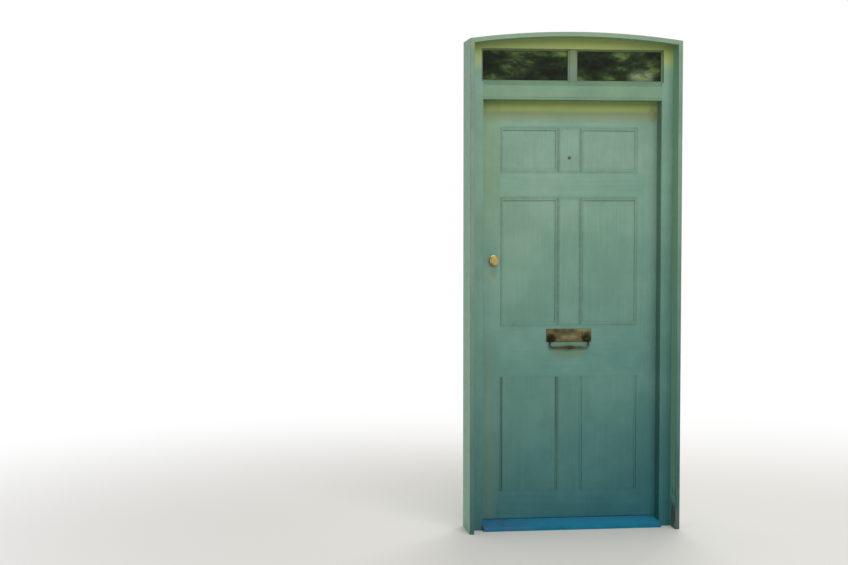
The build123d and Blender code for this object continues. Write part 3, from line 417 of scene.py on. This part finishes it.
def dirtied_and_shaded(tree, axes, specks, outdoors, low_right, colour, uprights, levels):
    """The colour with dirt and painted shade along some upright and some level lines."""
    shares = []
    if uprights:
        line = distance_to_lines(tree, maths(tree, "ABSOLUTE", axes["X"]), uprights)
        shares.append(product(
            tree,
            fade(tree, line, *UPRIGHT_REACH),
            fade(tree, axes["X"], *THINNING, DIRT_AND_SHADE_LEFT, DIRT_AND_SHADE_RIGHT),
        ))
    if levels:
        line = distance_to_lines(tree, axes["Z"], levels)
        shares.append(fade(tree, line, *LEVEL_REACH, 0.0, DIRT_AND_SHADE_LEVEL))
    # This darkening is dirt and painted shade together
    dirt = product(
        tree,
        maths(tree, "MAXIMUM", shares[0], shares[-1]),
        fade(tree, specks, *SPECK_EDGES, SPECK_THINNEST, 1.0),
        outdoors,
        fade(tree, low_right, 0.0, 1.0, 1.0, DIRT_AND_SHADE_LOW_RIGHT),
    )
    return mix(tree, dirt, colour, DIRT_AND_SHADE_COLOUR)


def quirks_painted_light(tree, axes, height, outdoors, low_down, low_right, colour):
    """Painted light in the lowest panels' quirks, on the right and in the lower middle."""
    low_middle = product(
        tree, fade(tree, axes["X"], *MIDDLE_SIDE), fade(tree, height, *MIDDLE_LEVEL)
    )
    painted_light_share = product(
        tree,
        maths(tree, "MAXIMUM", low_middle, low_right),
        fade(tree, axes["Y"], *QUIRK_DEPTH),
        low_down,
        outdoors,
    )
    return add_node(
        tree, "HueSaturation", None,
        {"Color": colour, "Value": fade(tree, painted_light_share, 0.0, 1.0, 1.0, QUIRK_PAINTED_LIGHT)},
    ).outputs[0]


# The lines carry dirt and painted shade
print("dirt along", len(SHADED_DIRTY_LEVELS), "levels, up to", LEVEL_REACH[0], "m from a line")

# %% [markdown]
# At the foot of the right-hand lining the paint has peeled off in upright flakes and shows grey
# timber. Loss grows towards the ground, where timber stays wet. Flakes could be modelled, but
# they are as thin as the paint, so a stretched pattern is enough.

# %% Bare timber
FLAKE_MM, FLAKE_EDGES = 24, (0.7, 0.78)
FLAKE_STRETCH = 0.25
BARE_TOP, BARE_SHARE = 0.36, 0.34
# Only the right-hand lining is bare, and only where it stands out in front of the jamb
BARE_SIDE = (LINING_EDGE - 0.042, LINING_EDGE - 0.022)
BARE_FRONT = (JAMB_FACE, JAMB_FACE - 0.02)
BARE_COLOUR = "#46544F"


def peeled(tree, place, axes, colour):
    """The colour with grey timber showing at the foot of the right-hand lining."""
    drawn_out = stretched(tree, place, (1, 1, FLAKE_STRETCH))
    flakes = noise(tree, drawn_out, FLAKE_MM, detail=6.0, roughness=0.7)
    lost = maths(tree, "ADD", fade(tree, axes["Z"], BARE_TOP, 0.0, 0.0, BARE_SHARE), flakes)
    bare = product(
        tree,
        fade(tree, lost, *FLAKE_EDGES),
        fade(tree, axes["X"], *BARE_SIDE),
        fade(tree, axes["Y"], *BARE_FRONT),
    )
    return mix(tree, bare, colour, BARE_COLOUR)


print("bare timber up to", BARE_TOP, "m")

# %% [markdown]
# One function now lays these over one another, in the order in which they reach a real door: the
# coat, splashes with painted shade, painted shade and light on the sides that turn in from the
# street, growth, stains, dirt with painted shade, loss.

# %% Aged eggshell paint on softwood
PAINT_EDGES, PAINT_ROUGHNESS = (0.3, 0.7), (0.48, 0.66)
LOW_DOWN = (LOWER_TOP + 0.01, LOWER_TOP)


def painted_softwood(
    name, grain, shade, faded, uprights=(), levels=(), algae=(), bare=False, marks=(), side_light_and_shade=None
):
    """Aged paint on softwood whose grain runs along X or Z."""
    material, tree, surface, place = new_finish(name)
    axes = axes_of(tree, place)
    outdoors = fade(tree, axes["Y"], INDOORS, OUTDOORS)
    height = maths(tree, "MULTIPLY_ADD", axes["X"], SPLASH_AND_SHADE_SLOPE, axes["Z"])
    specks = noise(tree, place, SPECK_MM, detail=6.0, roughness=0.7)
    colour, patches, grain_lines, ridges = brushed_coat(tree, place, grain, shade, faded)
    # Darker and bluer at the foot: splashes and painted shade
    colour = splashed_and_shaded(tree, axes, height, patches, colour)
    # Painted shade on a jamb's sides and painted light on a lining's sides that turn in
    if side_light_and_shade:
        start, full, side_painted_colour, most = side_light_and_shade
        colour = mix(tree, fade(tree, axes["Y"], start, full, 0.0, most), colour, side_painted_colour)
    colour = overgrown(tree, axes, outdoors, patches, colour, algae)
    colour = marked(tree, place, axes, colour, marks)
    if uprights or levels:
        low_down = fade(tree, axes["Z"], *LOW_DOWN)
        low_right = product(tree, low_down, fade(tree, axes["X"], *RIGHT_SIDE))
        # Dirt and painted shade along the panel lines
        colour = dirtied_and_shaded(tree, axes, specks, outdoors, low_right, colour, uprights, levels)
        # Only the panels have both kinds of line, and only they have quirks
        if uprights and levels:
            # Painted light lifts the shade in the lowest quirks
            colour = quirks_painted_light(tree, axes, height, outdoors, low_down, low_right, colour)
    if bare:
        colour = peeled(tree, place, axes, colour)
    close_finish(
        tree, surface, colour, fade(tree, specks, *PAINT_EDGES, *PAINT_ROUGHNESS),
        (grain_lines, GRAIN_STRENGTH, GRAIN_DEPTH), (ridges, RIDGE_STRENGTH, RIDGE_DEPTH),
    )
    return material


CYLINDER = middle_of("cylinder_ring")
LETTERS = middle_of("letter_plate")
print("cylinder and letter plate at", [round(part, 3) for part in CYLINDER + LETTERS])

# %% [markdown]
# The timbers were painted together but have aged apart. The leaf is the palest, the frame is a
# little darker, and the lining stands out in the rain. Each finish is named for what it is on, so
# that a mark goes only where the real one is: a stain with painted shadow under the cylinder that
# hands touch and under the letter plate, and a stain in the damp corner by the upper hinge.

# %% Paint for each kind of timber
# A side that turns in, painted shade on a jamb and painted light on a lining:
# where along Y it starts and is full, its colour and its share
JAMB_SIDE_PAINTED_SHADE = (JAMB_FACE + 0.002, JAMB_FACE + 0.012, "#31503F", 0.3)
LINING_SIDE_PAINTED_LIGHT = (LINING_FACE + 0.002, LINING_FACE + 0.01, "#7FAE91", 0.75)

stile_paint = painted_softwood(
    "eggshell paint, upright stile", "Z", "#6E927E", "#7A9C88", (LEAF_EDGE,), (), LEAF_GROWTH_AND_REFLECTED_LIGHT,
    marks=(
        # A touched-up place, a stain with painted shadow under the cylinder, the damp corner, two
        # olive washes
        ((CYLINDER[0] + 0.003, CYLINDER[1] - 0.099), (0.016, 0.019), 0.5, "#87906E"),
        ((CYLINDER[0], CYLINDER[1] - 0.045), (0.022, 0.05), 0.4, "#66714E"),
        ((LEAF_EDGE - 0.032, LEAF_TOP - 0.07), (0.026, 0.045), 0.5, "#6C6C3A"),
        ((-LEAF_EDGE + 0.02, 0.35), (0.09, 0.75), 0.25, "#6E7F62"),
        ((-LEAF_EDGE + 0.02, 1.95), (0.2, 0.7), 0.3, "#6F8A52"),
    ),
)
rail_paint = painted_softwood(
    "eggshell paint, lying rail", "X", "#6E937F", "#7A9D89", (), SHADED_DIRTY_LEVELS, LEAF_GROWTH_AND_REFLECTED_LIGHT,
    # A stain with painted shadow under the letter plate
    marks=(((LETTERS[0], LETTERS[1] - 0.07), (0.11, 0.055), 0.45, "#5F6B45"),),
)
panel_paint = painted_softwood(
    "eggshell paint, panel and muntin", "Z", "#6E927C", "#7A9C86",
    (MUNTIN_X, STILE_X), SHADED_DIRTY_LEVELS,
)
jamb_paint = painted_softwood(
    "eggshell paint, jamb", "Z", "#688C78", "#739883", algae=FRAME_ALGAE, side_light_and_shade=JAMB_SIDE_PAINTED_SHADE
)
head_paint = painted_softwood(
    "eggshell paint, head and transom", "X", "#63866A", "#6E9173", algae=FRAME_ALGAE
)
bar_paint = painted_softwood(
    "eggshell paint, glazing bar", "Z", "#56705C", "#5F7B65", algae=BAR_ALGAE
)
lining_paint = painted_softwood(
    "eggshell paint, lining board", "Z", "#627F6B", "#708C77", algae=LINING_ALGAE, bare=True,
    side_light_and_shade=LINING_SIDE_PAINTED_LIGHT,
)

finishes = {
    stile_paint: ("lock_stile", "hinge_stile"),
    rail_paint: ("top_rail", "frieze_rail", "lock_rail", "bottom_rail"),
    panel_paint: (
        "muntin_top", "muntin_middle", "muntin_lower", "panel_top_left", "panel_top_right",
        "panel_middle_left", "panel_middle_right", "panel_lower_left", "panel_lower_right",
        "mouldings_top", "mouldings_middle",
    ),
    jamb_paint: ("jamb_left", "jamb_right"),
    head_paint: ("transom", "head"),
    bar_paint: ("glazing_bar", "fanlight_beads"),
    lining_paint: ("lining_left", "lining_right", "lining_arch"),
}
painted_names = [name for names in finishes.values() for name in names]
print("painted nodes:", len(painted_names), "in", len(finishes), "finishes")

# %% [markdown]
# The sill is the same softwood under a harder, blue-green porch paint. Its tread is painted
# lighter than its nose as a painted reflection of the sky, feet wear it on the side of the lock,
# and dirt lies in its grain. It could be one plain colour, but the worn patches are what tells a
# sill from a painted box.

# %% Worn porch paint on the sill
SILL_GRAIN_MM, SILL_GRAIN_EDGES, SILL_GRAIN_SHARE = 7, (0.6, 0.75), 0.4
WEAR_MM, WEAR_EDGES = 90, (0.35, 0.7)
SILL_ROUGHNESS = (0.4, 0.7)
SILL_STRENGTH, SILL_DEPTH = 0.6, 0.0008
SILL_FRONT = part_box("sill")[0][1]
NOSE_END, TREAD_START = SILL_FRONT + 0.004, SILL_FRONT + 0.012
# Places across between which the trodden end starts, and how much of it shows
TRODDEN_SIDE, TRODDEN_EDGES, TRODDEN_SHARE = (-0.1, -0.35), (0.4, 0.6), (0.2, 0.7)


def worn_sill_paint():
    """Blue-green paint, a tread lit by a painted sky reflection, a trodden end and grain dirt."""
    material, tree, surface, place = new_finish("worn porch paint", Specular_IOR_Level=0.12)
    axes = axes_of(tree, place)
    grain_lines = noise(tree, along_grain(tree, place, "X"), SILL_GRAIN_MM, detail=6.0)
    wear = noise(tree, place, WEAR_MM, detail=6.0, roughness=0.7)
    colour = mix(tree, fade(tree, wear, *WEAR_EDGES), "#0A6682", "#14738E")
    # The tread is lighter than the nose: a painted reflection of the sky
    colour = mix(tree, fade(tree, axes["Y"], NOSE_END, TREAD_START), colour, "#2B7E9E")
    trodden = product(
        tree,
        fade(tree, axes["X"], *TRODDEN_SIDE),
        fade(tree, wear, *TRODDEN_EDGES, *TRODDEN_SHARE),
    )
    colour = mix(tree, trodden, colour, "#3E5F80")
    dirt = fade(tree, grain_lines, *SILL_GRAIN_EDGES, 0.0, SILL_GRAIN_SHARE)
    close_finish(
        tree, surface, mix(tree, dirt, colour, "#234548"),
        fade(tree, wear, *PAINT_EDGES, *SILL_ROUGHNESS),
        (grain_lines, SILL_STRENGTH, SILL_DEPTH),
    )
    return material


finishes[worn_sill_paint()] = ("sill", "water_bar")
print("tread starts", round(TREAD_START - SILL_FRONT, 3), "m behind the nose")

# %% [markdown]
# The fanlight is old drawn glass with an unlit hall behind it, so from outside it reads as a deep
# green-black with dim garden colours in it. Clear glass in an empty studio would look white, so
# the pane passes little light, reflects little, and carries a painted darkness for the hall and a
# painted reflection of the garden as a pattern of its own, which stays in place when the view
# moves. Slow waves in it bend what it does reflect.

# %% Old drawn glass with a painted reflection
REFLECTION_MM, REFLECTION_EDGES, REFLECTION_PALE_SHARE = 85, (0.42, 0.58), (0.25, 0.9)
REFLECTION_LEAN = math.radians(35)
REFLECTION_STRETCH = 0.45
# Dark tones for the unlit hall and dim greens: a painted reflection of a garden
REFLECTION_TONES = (
    (0.36, "#090E05"), (0.47, "#1A2710"), (0.53, "#29391D"), (0.58, "#435729"), (0.68, "#70824D"),
)
WAVE_MM = 60
WAVE_STRENGTH, WAVE_DEPTH = 0.4, 0.001
PANE_LOW, PANE_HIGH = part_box("fanlight_glass_right")
# The paler patch, in the lower right corner of the right pane, and its whole core
PALE_MIDDLE, PALE_HALF = (PANE_HIGH[0] - 0.1, PANE_LOW[2] + 0.032), (0.085, 0.042)
PALE_CORE = 0.2


def drawn_glass():
    """Dark glossy glass with a painted reflection of a garden, a paler patch and slow waves."""
    material, tree, surface, place = new_finish(
        "old drawn glass", Roughness=0.05, IOR=1.52, Transmission_Weight=0.05,
        Specular_IOR_Level=0.12,
    )
    slanted = stretched(tree, place, (REFLECTION_STRETCH, 1, 1), (0, REFLECTION_LEAN, 0))
    reflected_clumps = noise(tree, slanted, REFLECTION_MM, detail=4.0, roughness=0.65)
    pale = product(
        tree,
        fade(tree, oval(tree, place, PALE_MIDDLE, PALE_HALF), 1.0, PALE_CORE),
        fade(tree, reflected_clumps, *REFLECTION_EDGES, *REFLECTION_PALE_SHARE),
    )
    colour = mix(tree, pale, tone_ramp(tree, reflected_clumps, REFLECTION_TONES), "#879A70")
    tree.links.new(colour, surface.inputs["Base Color"])
    emboss(tree, surface, (noise(tree, place, WAVE_MM, detail=1.0), WAVE_STRENGTH, WAVE_DEPTH))
    return material


finishes[drawn_glass()] = ("fanlight_glass_left", "fanlight_glass_right")
print("right pane is", round(PANE_HIGH[0] - PANE_LOW[0], 3), "m wide")

# %% [markdown]
# A viewer's lens is clear ground glass, small enough for one gentle bump pattern.

# %% Clear ground glass
GRIND_MM = 2
GRIND_STRENGTH, GRIND_DEPTH = 0.05, 0.0001


def ground_glass():
    """Clear glass with a faint grind."""
    material, tree, surface, place = new_finish(
        "clear ground glass", Base_Color=linear("#DDE6E4"), Roughness=0.02, IOR=1.52,
        Transmission_Weight=1.0,
    )
    emboss(tree, surface, (noise(tree, place, GRIND_MM), GRIND_STRENGTH, GRIND_DEPTH))
    return material


finishes[ground_glass()] = ("viewer_lens",)
print("lens at", [round(part, 3) for part in middle_of("viewer_lens")])

# %% [markdown]
# The cylinder is turned brass that keys and hands keep bright. The letter plate is cast brass
# that has been left to brown. Both are one metal, so one function makes them: a bright tone, a
# tarnish tone, how much tarnish, and how rough the surface is. Metal keeps its default IOR.

# %% Turned, cast and tarnished brass
TARNISH_ROUGHNESS = 0.2
SCRATCH_STRENGTH, SCRATCH_DEPTH = 0.25, 0.0002
# The painted shade round the knocker's pivots is centred this high over the lower edge of the
# plate
PIVOT_SHADE_RISE = 0.016
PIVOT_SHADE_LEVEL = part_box("letter_plate")[0][2] + PIVOT_SHADE_RISE


def tarnished_brass(name, bright, tarnish, blotch_mm, start, end, roughness, scratch_mm, marks=()):
    """Brass with blotches of tarnish, fine scratches, and painted shade and highlights in places.
    """
    material, tree, surface, place = new_finish(name, Metallic=1.0)
    blotches = noise(tree, place, blotch_mm, detail=5.0)
    colour = mix(tree, fade(tree, blotches, start, end), bright, tarnish)
    close_finish(
        tree,
        surface,
        marked(tree, place, axes_of(tree, place), colour, marks),
        fade(tree, blotches, start, end, roughness, roughness + TARNISH_ROUGHNESS),
        (noise(tree, place, scratch_mm, detail=3.0), SCRATCH_STRENGTH, SCRATCH_DEPTH),
    )
    return material


turned_brass = tarnished_brass(
    "turned brass", "#A9965C", "#7C7040",
    blotch_mm=22, start=0.4, end=0.65, roughness=0.3, scratch_mm=1.2,
)
cast_brass = tarnished_brass(
    "tarnished cast brass", "#625C3F", "#4E4932",
    blotch_mm=30, start=0.35, end=0.65, roughness=0.42, scratch_mm=1.6,
    marks=(
        # Painted shade round both pivots, painted highlights between and above them, painted shade
        # on the grip
        ((LETTERS[0] - 0.085, PIVOT_SHADE_LEVEL), (0.034, 0.03), 0.85, "#241F0F"),
        ((LETTERS[0] + 0.085, PIVOT_SHADE_LEVEL), (0.034, 0.03), 0.8, "#28230F"),
        ((LETTERS[0], PIVOT_SHADE_LEVEL + 0.006), (0.055, 0.014), 0.6, "#857D60"),
        ((LETTERS[0] + 0.08, LETTERS[1] + 0.027), (0.06, 0.014), 0.5, "#8C8862"),
        ((LETTERS[0], PIVOT_SHADE_LEVEL - 0.036), (0.06, 0.012), 0.6, "#2C2A18"),
    ),
)
finishes[turned_brass] = (
    "cylinder_body", "cylinder_ring", "cylinder_plug", "latch_knob", "latch_snib",
    "viewer_sleeve", "viewer_cover",
)
finishes[cast_brass] = (
    "letter_plate", "letter_flap", "knocker", "inner_letter_frame", "inner_flap", "viewer_barrel",
)
# The pivots' dark patches are painted shade
print("brown patches at", round(PIVOT_SHADE_LEVEL, 3), "m")

# %% [markdown]
# Hinges, screws, pins and the latch bolt are mild steel with a thin zinc plating, which looks grey
# and slightly clouded. The latch case is cast iron under a dark stoved enamel.

# %% Zinc-plated steel and stoved enamel
CLOUD_EDGES = (0.35, 0.65)
CLOUD_ROUGHNESS = 0.12
CLOUD_STRENGTH, CLOUD_DEPTH = 0.2, 0.0003


def clouded_surface(name, light, dark, cloud_mm, metallic, roughness):
    """A surface of two close tones in soft clouds."""
    material, tree, surface, place = new_finish(name, Metallic=metallic)
    clouds = noise(tree, place, cloud_mm, detail=5.0, roughness=0.6)
    close_finish(
        tree,
        surface,
        mix(tree, fade(tree, clouds, *CLOUD_EDGES), light, dark),
        fade(tree, clouds, *CLOUD_EDGES, roughness, roughness + CLOUD_ROUGHNESS),
        (clouds, CLOUD_STRENGTH, CLOUD_DEPTH),
    )
    return material


zinc_plate = clouded_surface(
    "zinc-plated steel", "#ABABA6", "#93948F", cloud_mm=6, metallic=1.0, roughness=0.34
)
stoved_enamel = clouded_surface(
    "stoved enamel", "#3A3F38", "#2C302B", cloud_mm=9, metallic=0.0, roughness=0.35
)
finishes[zinc_plate] = (
    "hinge_pins", "frame_screws", "door_screws", "latch_screws", "flap_pins",
    "letter_plate_bolts", "latch_bolt",
    "hinge_top_frame_leaf", "hinge_middle_frame_leaf", "hinge_bottom_frame_leaf",
    "hinge_top_door_leaf", "hinge_middle_door_leaf", "hinge_bottom_door_leaf",
)
finishes[stoved_enamel] = ("latch_case", "latch_keep")
print("finishes in all:", len(finishes))

# %% [markdown]
# Each finish goes onto its nodes by taking the place of the plain material in their slots.

# %% Put the finishes on
for finish, names in finishes.items():
    for name in names:
        for slot in nodes[name].material_slots:
            slot.material = finish
unfinished = sorted(set(nodes) - {name for names in finishes.values() for name in names})
print("finished nodes:", len(nodes) - len(unfinished), "left:", unfinished)

# %% [markdown]
# Planed and painted timber has no sharp edges: sandpaper and paint round every arris to about a
# millimetre, and that thin round is what catches the light. A bevel on each solid could be cut in
# the source, but a modifier gives the same edge here and leaves the solids as they are.

# %% Soften the painted arrises
ARRIS = 0.0012
ARRIS_STEPS = 2
LEAST_ANGLE = math.radians(50)
for name in painted_names:
    bevel = nodes[name].modifiers.new("sanded arris", "BEVEL")
    bevel.width = ARRIS
    bevel.segments = ARRIS_STEPS
    bevel.limit_method = "ANGLE"
    bevel.angle_limit = LEAST_ANGLE
    bevel.harden_normals = True
print("softened pieces:", len(painted_names))

# %% [markdown]
# The source has each screw as a plain shank and head. A real one has a slot across its head. A
# picture of a slot would vanish from the side, so the slot is cut: one screw is turned from a
# profile, as on a lathe, and a bar is subtracted from it, as by a slitting saw.

# %% Turn and slot a screw
SCREW_SIDES = 40
SLOT_WIDTH = 0.0009
SLOT_DEPTH = 0.0009
SLOT_REACH = 0.006
# Radius and height of each corner, up from the tip to the middle of the head
COUNTERSUNK = (
    (0, -0.028), (0.0006, -0.027), (0.002, -0.02), (0.002, -0.002), (0.0039, -0.0001),
    (0.0037, 0.0), (0, 0.0),
)
DOMED = (
    (0, -0.0456), (0.0018, -0.0446), (0.0018, -0.0016), (0.0035, -0.0016), (0.0034, -0.001),
    (0.0028, -0.0004), (0.0016, -0.0001), (0, 0.0),
)


def turned_mesh(name, profile):
    """A solid turned about Z from (radius, height) points."""
    shape = bmesh.new()
    rings = []
    for radius, height in profile:
        if radius == 0:
            rings.append([shape.verts.new((0, 0, height))])
            continue
        ring = []
        for step in range(SCREW_SIDES):
            angle = 2 * math.pi * step / SCREW_SIDES
            ring.append(
                shape.verts.new((radius * math.cos(angle), radius * math.sin(angle), height))
            )
        rings.append(ring)
    for lower, upper in zip(rings, rings[1:]):
        for step in range(SCREW_SIDES):
            following = (step + 1) % SCREW_SIDES
            corners = [lower[step % len(lower)], lower[following % len(lower)]]
            corners += [upper[following % len(upper)], upper[step % len(upper)]]
            shape.faces.new(list(dict.fromkeys(corners)))
    bmesh.ops.recalc_face_normals(shape, faces=shape.faces)
    mesh = bpy.data.meshes.new(name)
    shape.to_mesh(mesh)
    shape.free()
    return mesh


def slotted(mesh):
    """The same screw with a slot cut across its head, which is at the origin."""
    scene_objects = bpy.context.scene.collection.objects
    screw = bpy.data.objects.new("screw", mesh)
    bar = bmesh.new()
    bar_size = Matrix.Diagonal((2 * SLOT_REACH, SLOT_WIDTH, 2 * SLOT_DEPTH, 1))
    bmesh.ops.create_cube(bar, size=1, matrix=bar_size)
    bar_mesh = bpy.data.meshes.new("bar")
    bar.to_mesh(bar_mesh)
    bar.free()
    cutter = bpy.data.objects.new("cutter", bar_mesh)
    scene_objects.link(screw)
    scene_objects.link(cutter)
    cut = screw.modifiers.new("slot", "BOOLEAN")
    cut.operation = "DIFFERENCE"
    cut.object = cutter
    cut.solver = "EXACT"
    result = bpy.data.meshes.new_from_object(
        screw.evaluated_get(bpy.context.evaluated_depsgraph_get())
    )
    bpy.data.objects.remove(screw)
    bpy.data.objects.remove(cutter)
    return result


countersunk_screw = slotted(turned_mesh("countersunk", COUNTERSUNK))
domed_screw = slotted(turned_mesh("domed", DOMED))
print("faces of a screw:", len(countersunk_screw.polygons), len(domed_screw.polygons))

# %% [markdown]
# A copy of that screw goes wherever the source has one, and takes its place. A hand stops each
# screw at its own angle, so every copy is turned by a different amount. Copies could share one
# angle, but then a row of slots lines up and looks stamped.

# %% Put a slotted screw in each place
SLOT_SEED = 7
WELD = 1e-6
X_AXIS, Y_AXIS = 0, 1
turns = random.Random(SLOT_SEED)


def loose_parts(name):
    """The lowest and highest corner of each separate solid of a node."""
    shape = bmesh.new()
    shape.from_mesh(nodes[name].data)
    bmesh.ops.remove_doubles(shape, verts=shape.verts, dist=WELD)
    left = set(shape.verts)
    boxes = []
    while left:
        group, edge = set(), [left.pop()]
        while edge:
            vert = edge.pop()
            group.add(vert)
            for link in vert.link_edges:
                other = link.other_vert(vert)
                if other in left:
                    left.remove(other)
                    edge.append(other)
        points = [vert.co for vert in group]
        low = Vector([min(point[axis] for point in points) for axis in range(3)])
        high = Vector([max(point[axis] for point in points) for axis in range(3)])
        boxes.append((low, high))
    shape.free()
    return boxes


def place_screws(name, node, body, chosen):
    """One mesh with a slotted screw in place of each solid of a node."""
    whole = bmesh.new()
    for low, high in loose_parts(node):
        screw, axis, sign = chosen(low, high)
        head = (low + high) / 2
        head[axis] = high[axis] if sign > 0 else low[axis]
        out = Vector((0, 0, 0))
        out[axis] = sign
        turn = Matrix.Rotation(turns.uniform(0, math.pi), 4, "Z")
        stand = out.to_track_quat("Z", "Y").to_matrix().to_4x4()
        start = len(whole.verts)
        whole.from_mesh(screw)
        whole.verts.ensure_lookup_table()
        bmesh.ops.transform(
            whole, matrix=Matrix.Translation(head) @ stand @ turn, verts=whole.verts[start:]
        )
    mesh = bpy.data.meshes.new(name)
    whole.to_mesh(mesh)
    whole.free()
    piece = bpy.data.objects.new(name, mesh)
    bpy.context.scene.collection.objects.link(piece)
    mesh.materials.append(zinc_plate)
    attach(piece, body)
    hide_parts(node)
    print(name, "faces:", len(mesh.polygons))


def frame_screw(low, high):
    """The keep's screws face into the house, and the hinges' face the leaf."""
    along_y = high.y - low.y > high.x - low.x
    return (countersunk_screw, Y_AXIS, 1) if along_y else (countersunk_screw, X_AXIS, -1)


def door_screw(low, high):
    """The hinge leaves' screws face the jamb."""
    return countersunk_screw, X_AXIS, 1


def latch_screw(low, high):
    """The latch case's screws face into the house."""
    return domed_screw, Y_AXIS, 1


place_screws("slotted_frame_screws", "frame_screws", "frame", frame_screw)
place_screws("slotted_door_screws", "door_screws", "leaf", door_screw)
place_screws("slotted_latch_screws", "latch_screws", "leaf", latch_screw)

# %% [markdown]
# A plain pale floor carries the door's shadow. Its far parts fade into the white background, so
# that no horizon cuts through the picture. The fade is only for what the camera, a reflection or
# glass sees; the floor still bounces light as a pale floor does.

# %% Floor
FLOOR_RADIUS = 14.0
FLOOR_SIDES = 96
FLOOR_GAP = 0.0005
FADE_START, FADE_END = 1.2, 4.5
WHITE = (1, 1, 1, 1)

floor_mesh = bpy.data.meshes.new("floor")
shape = bmesh.new()
bmesh.ops.create_circle(shape, cap_ends=True, segments=FLOOR_SIDES, radius=FLOOR_RADIUS)
shape.to_mesh(floor_mesh)
shape.free()
floor = bpy.data.objects.new("floor", floor_mesh)
floor.location.z = cad_box[0][2] - FLOOR_GAP
bpy.context.scene.collection.objects.link(floor)


def seen_directly(tree):
    """1 for camera, glossy and transmission rays, and 0 for the rays that light things."""
    path = add_node(tree, "LightPath").outputs
    mirrored = maths(tree, "MAXIMUM", path["Is Glossy Ray"], path["Is Transmission Ray"])
    return maths(tree, "MAXIMUM", path["Is Camera Ray"], mirrored)


floor_paint, tree, surface, place = new_finish(
    "pale floor", Base_Color=linear("#DAD8D3"), Roughness=0.9
)
distance = add_node(tree, "VectorMath", {"operation": "LENGTH"}, {0: place}).outputs["Value"]
faded = product(tree, fade(tree, distance, FADE_START, FADE_END), seen_directly(tree))
glow = add_node(tree, "Emission", None, {"Color": WHITE, "Strength": 1.0}).outputs[0]
blend = add_node(tree, "MixShader", None, {0: faded, 1: surface.outputs[0], 2: glow})
tree.links.new(blend.outputs[0], tree.nodes["Material Output"].inputs["Surface"])
floor_mesh.materials.append(floor_paint)
print("floor fades from", FADE_START, "to", FADE_END, "m")

# %% [markdown]
# The background is white where it is seen, and lights the door only as dimly as an overcast sky
# fills a shaded street. One strength for both would either grey the picture or wash out the
# shade in the panels.

# %% Background
AMBIENT = 0.55
world = bpy.data.worlds.new("studio")
bpy.context.scene.world = world
world.use_nodes = True
tree = world.node_tree
ambient = tree.nodes["Background"]
ambient.inputs["Color"].default_value = WHITE
ambient.inputs["Strength"].default_value = AMBIENT
shown = add_node(tree, "Background", None, {"Color": WHITE, "Strength": 1.0})
both = add_node(
    tree, "MixShader", None, {0: seen_directly(tree), 1: ambient.outputs[0], 2: shown.outputs[0]}
)
tree.links.new(both.outputs[0], tree.nodes["World Output"].inputs["Surface"])
print("background lights at", AMBIENT, "of the strength that is seen")

# %% [markdown]
# Daylight falls on the real door from an open sky above and in front of it. One large soft lamp,
# high in front and half a metre to the right, gives the shade under the transom and in the
# right-hand recess. The world fills the rest evenly, and a second lamp lights the side towards
# the house.

# %% Lamps
DOOR_MIDDLE = (Vector(cad_box[0]) + Vector(cad_box[1])) / 2


def soft_lamp(name, place, size, power):
    """A square area lamp that looks at the middle of the door."""
    data = bpy.data.lights.new(name, "AREA")
    data.shape = "SQUARE"
    data.size = size
    data.energy = power
    lamp = bpy.data.objects.new(name, data)
    lamp.location = place
    lamp.rotation_euler = (DOOR_MIDDLE - Vector(place)).to_track_quat("-Z", "Y").to_euler()
    bpy.context.scene.collection.objects.link(lamp)
    print(name, "is", round((DOOR_MIDDLE - Vector(place)).length, 2), "m away")


soft_lamp("open sky", (0.5, -4.8, 4.5), size=3.4, power=190)
soft_lamp("house side", (1.5, 4.5, 4.0), size=3.0, power=150)

# %% [markdown]
# The camera stands where the photo was taken from: about seven and a half metres away, a little
# to the left, at eye level. It is turned less than the door asks, so the door sits right of the
# middle as in the photo, and the level lines slope as gently as they do there. A longer lens then
# fills the height of the picture with the door.

# %% Camera
CAMERA_DISTANCE = 7.5
CAMERA_SIDE = math.radians(12.7)
CAMERA_TURN = math.radians(7.4)
EYE_LEVEL = 1.52
LENS_MM = 68
camera_data = bpy.data.cameras.new("camera")
camera_data.lens = LENS_MM
camera = bpy.data.objects.new("camera", camera_data)
camera.location = (
    -CAMERA_DISTANCE * math.sin(CAMERA_SIDE),
    -CAMERA_DISTANCE * math.cos(CAMERA_SIDE),
    EYE_LEVEL,
)
tilt = (DOOR_MIDDLE[2] - EYE_LEVEL) / CAMERA_DISTANCE
look = Vector((math.sin(CAMERA_TURN), math.cos(CAMERA_TURN), tilt))
camera.rotation_euler = look.to_track_quat("-Z", "Y").to_euler()
bpy.context.scene.collection.objects.link(camera)
bpy.context.scene.camera = camera
bpy.context.scene.view_settings.view_transform = "Standard"
print("camera at", [round(part, 2) for part in camera.location])
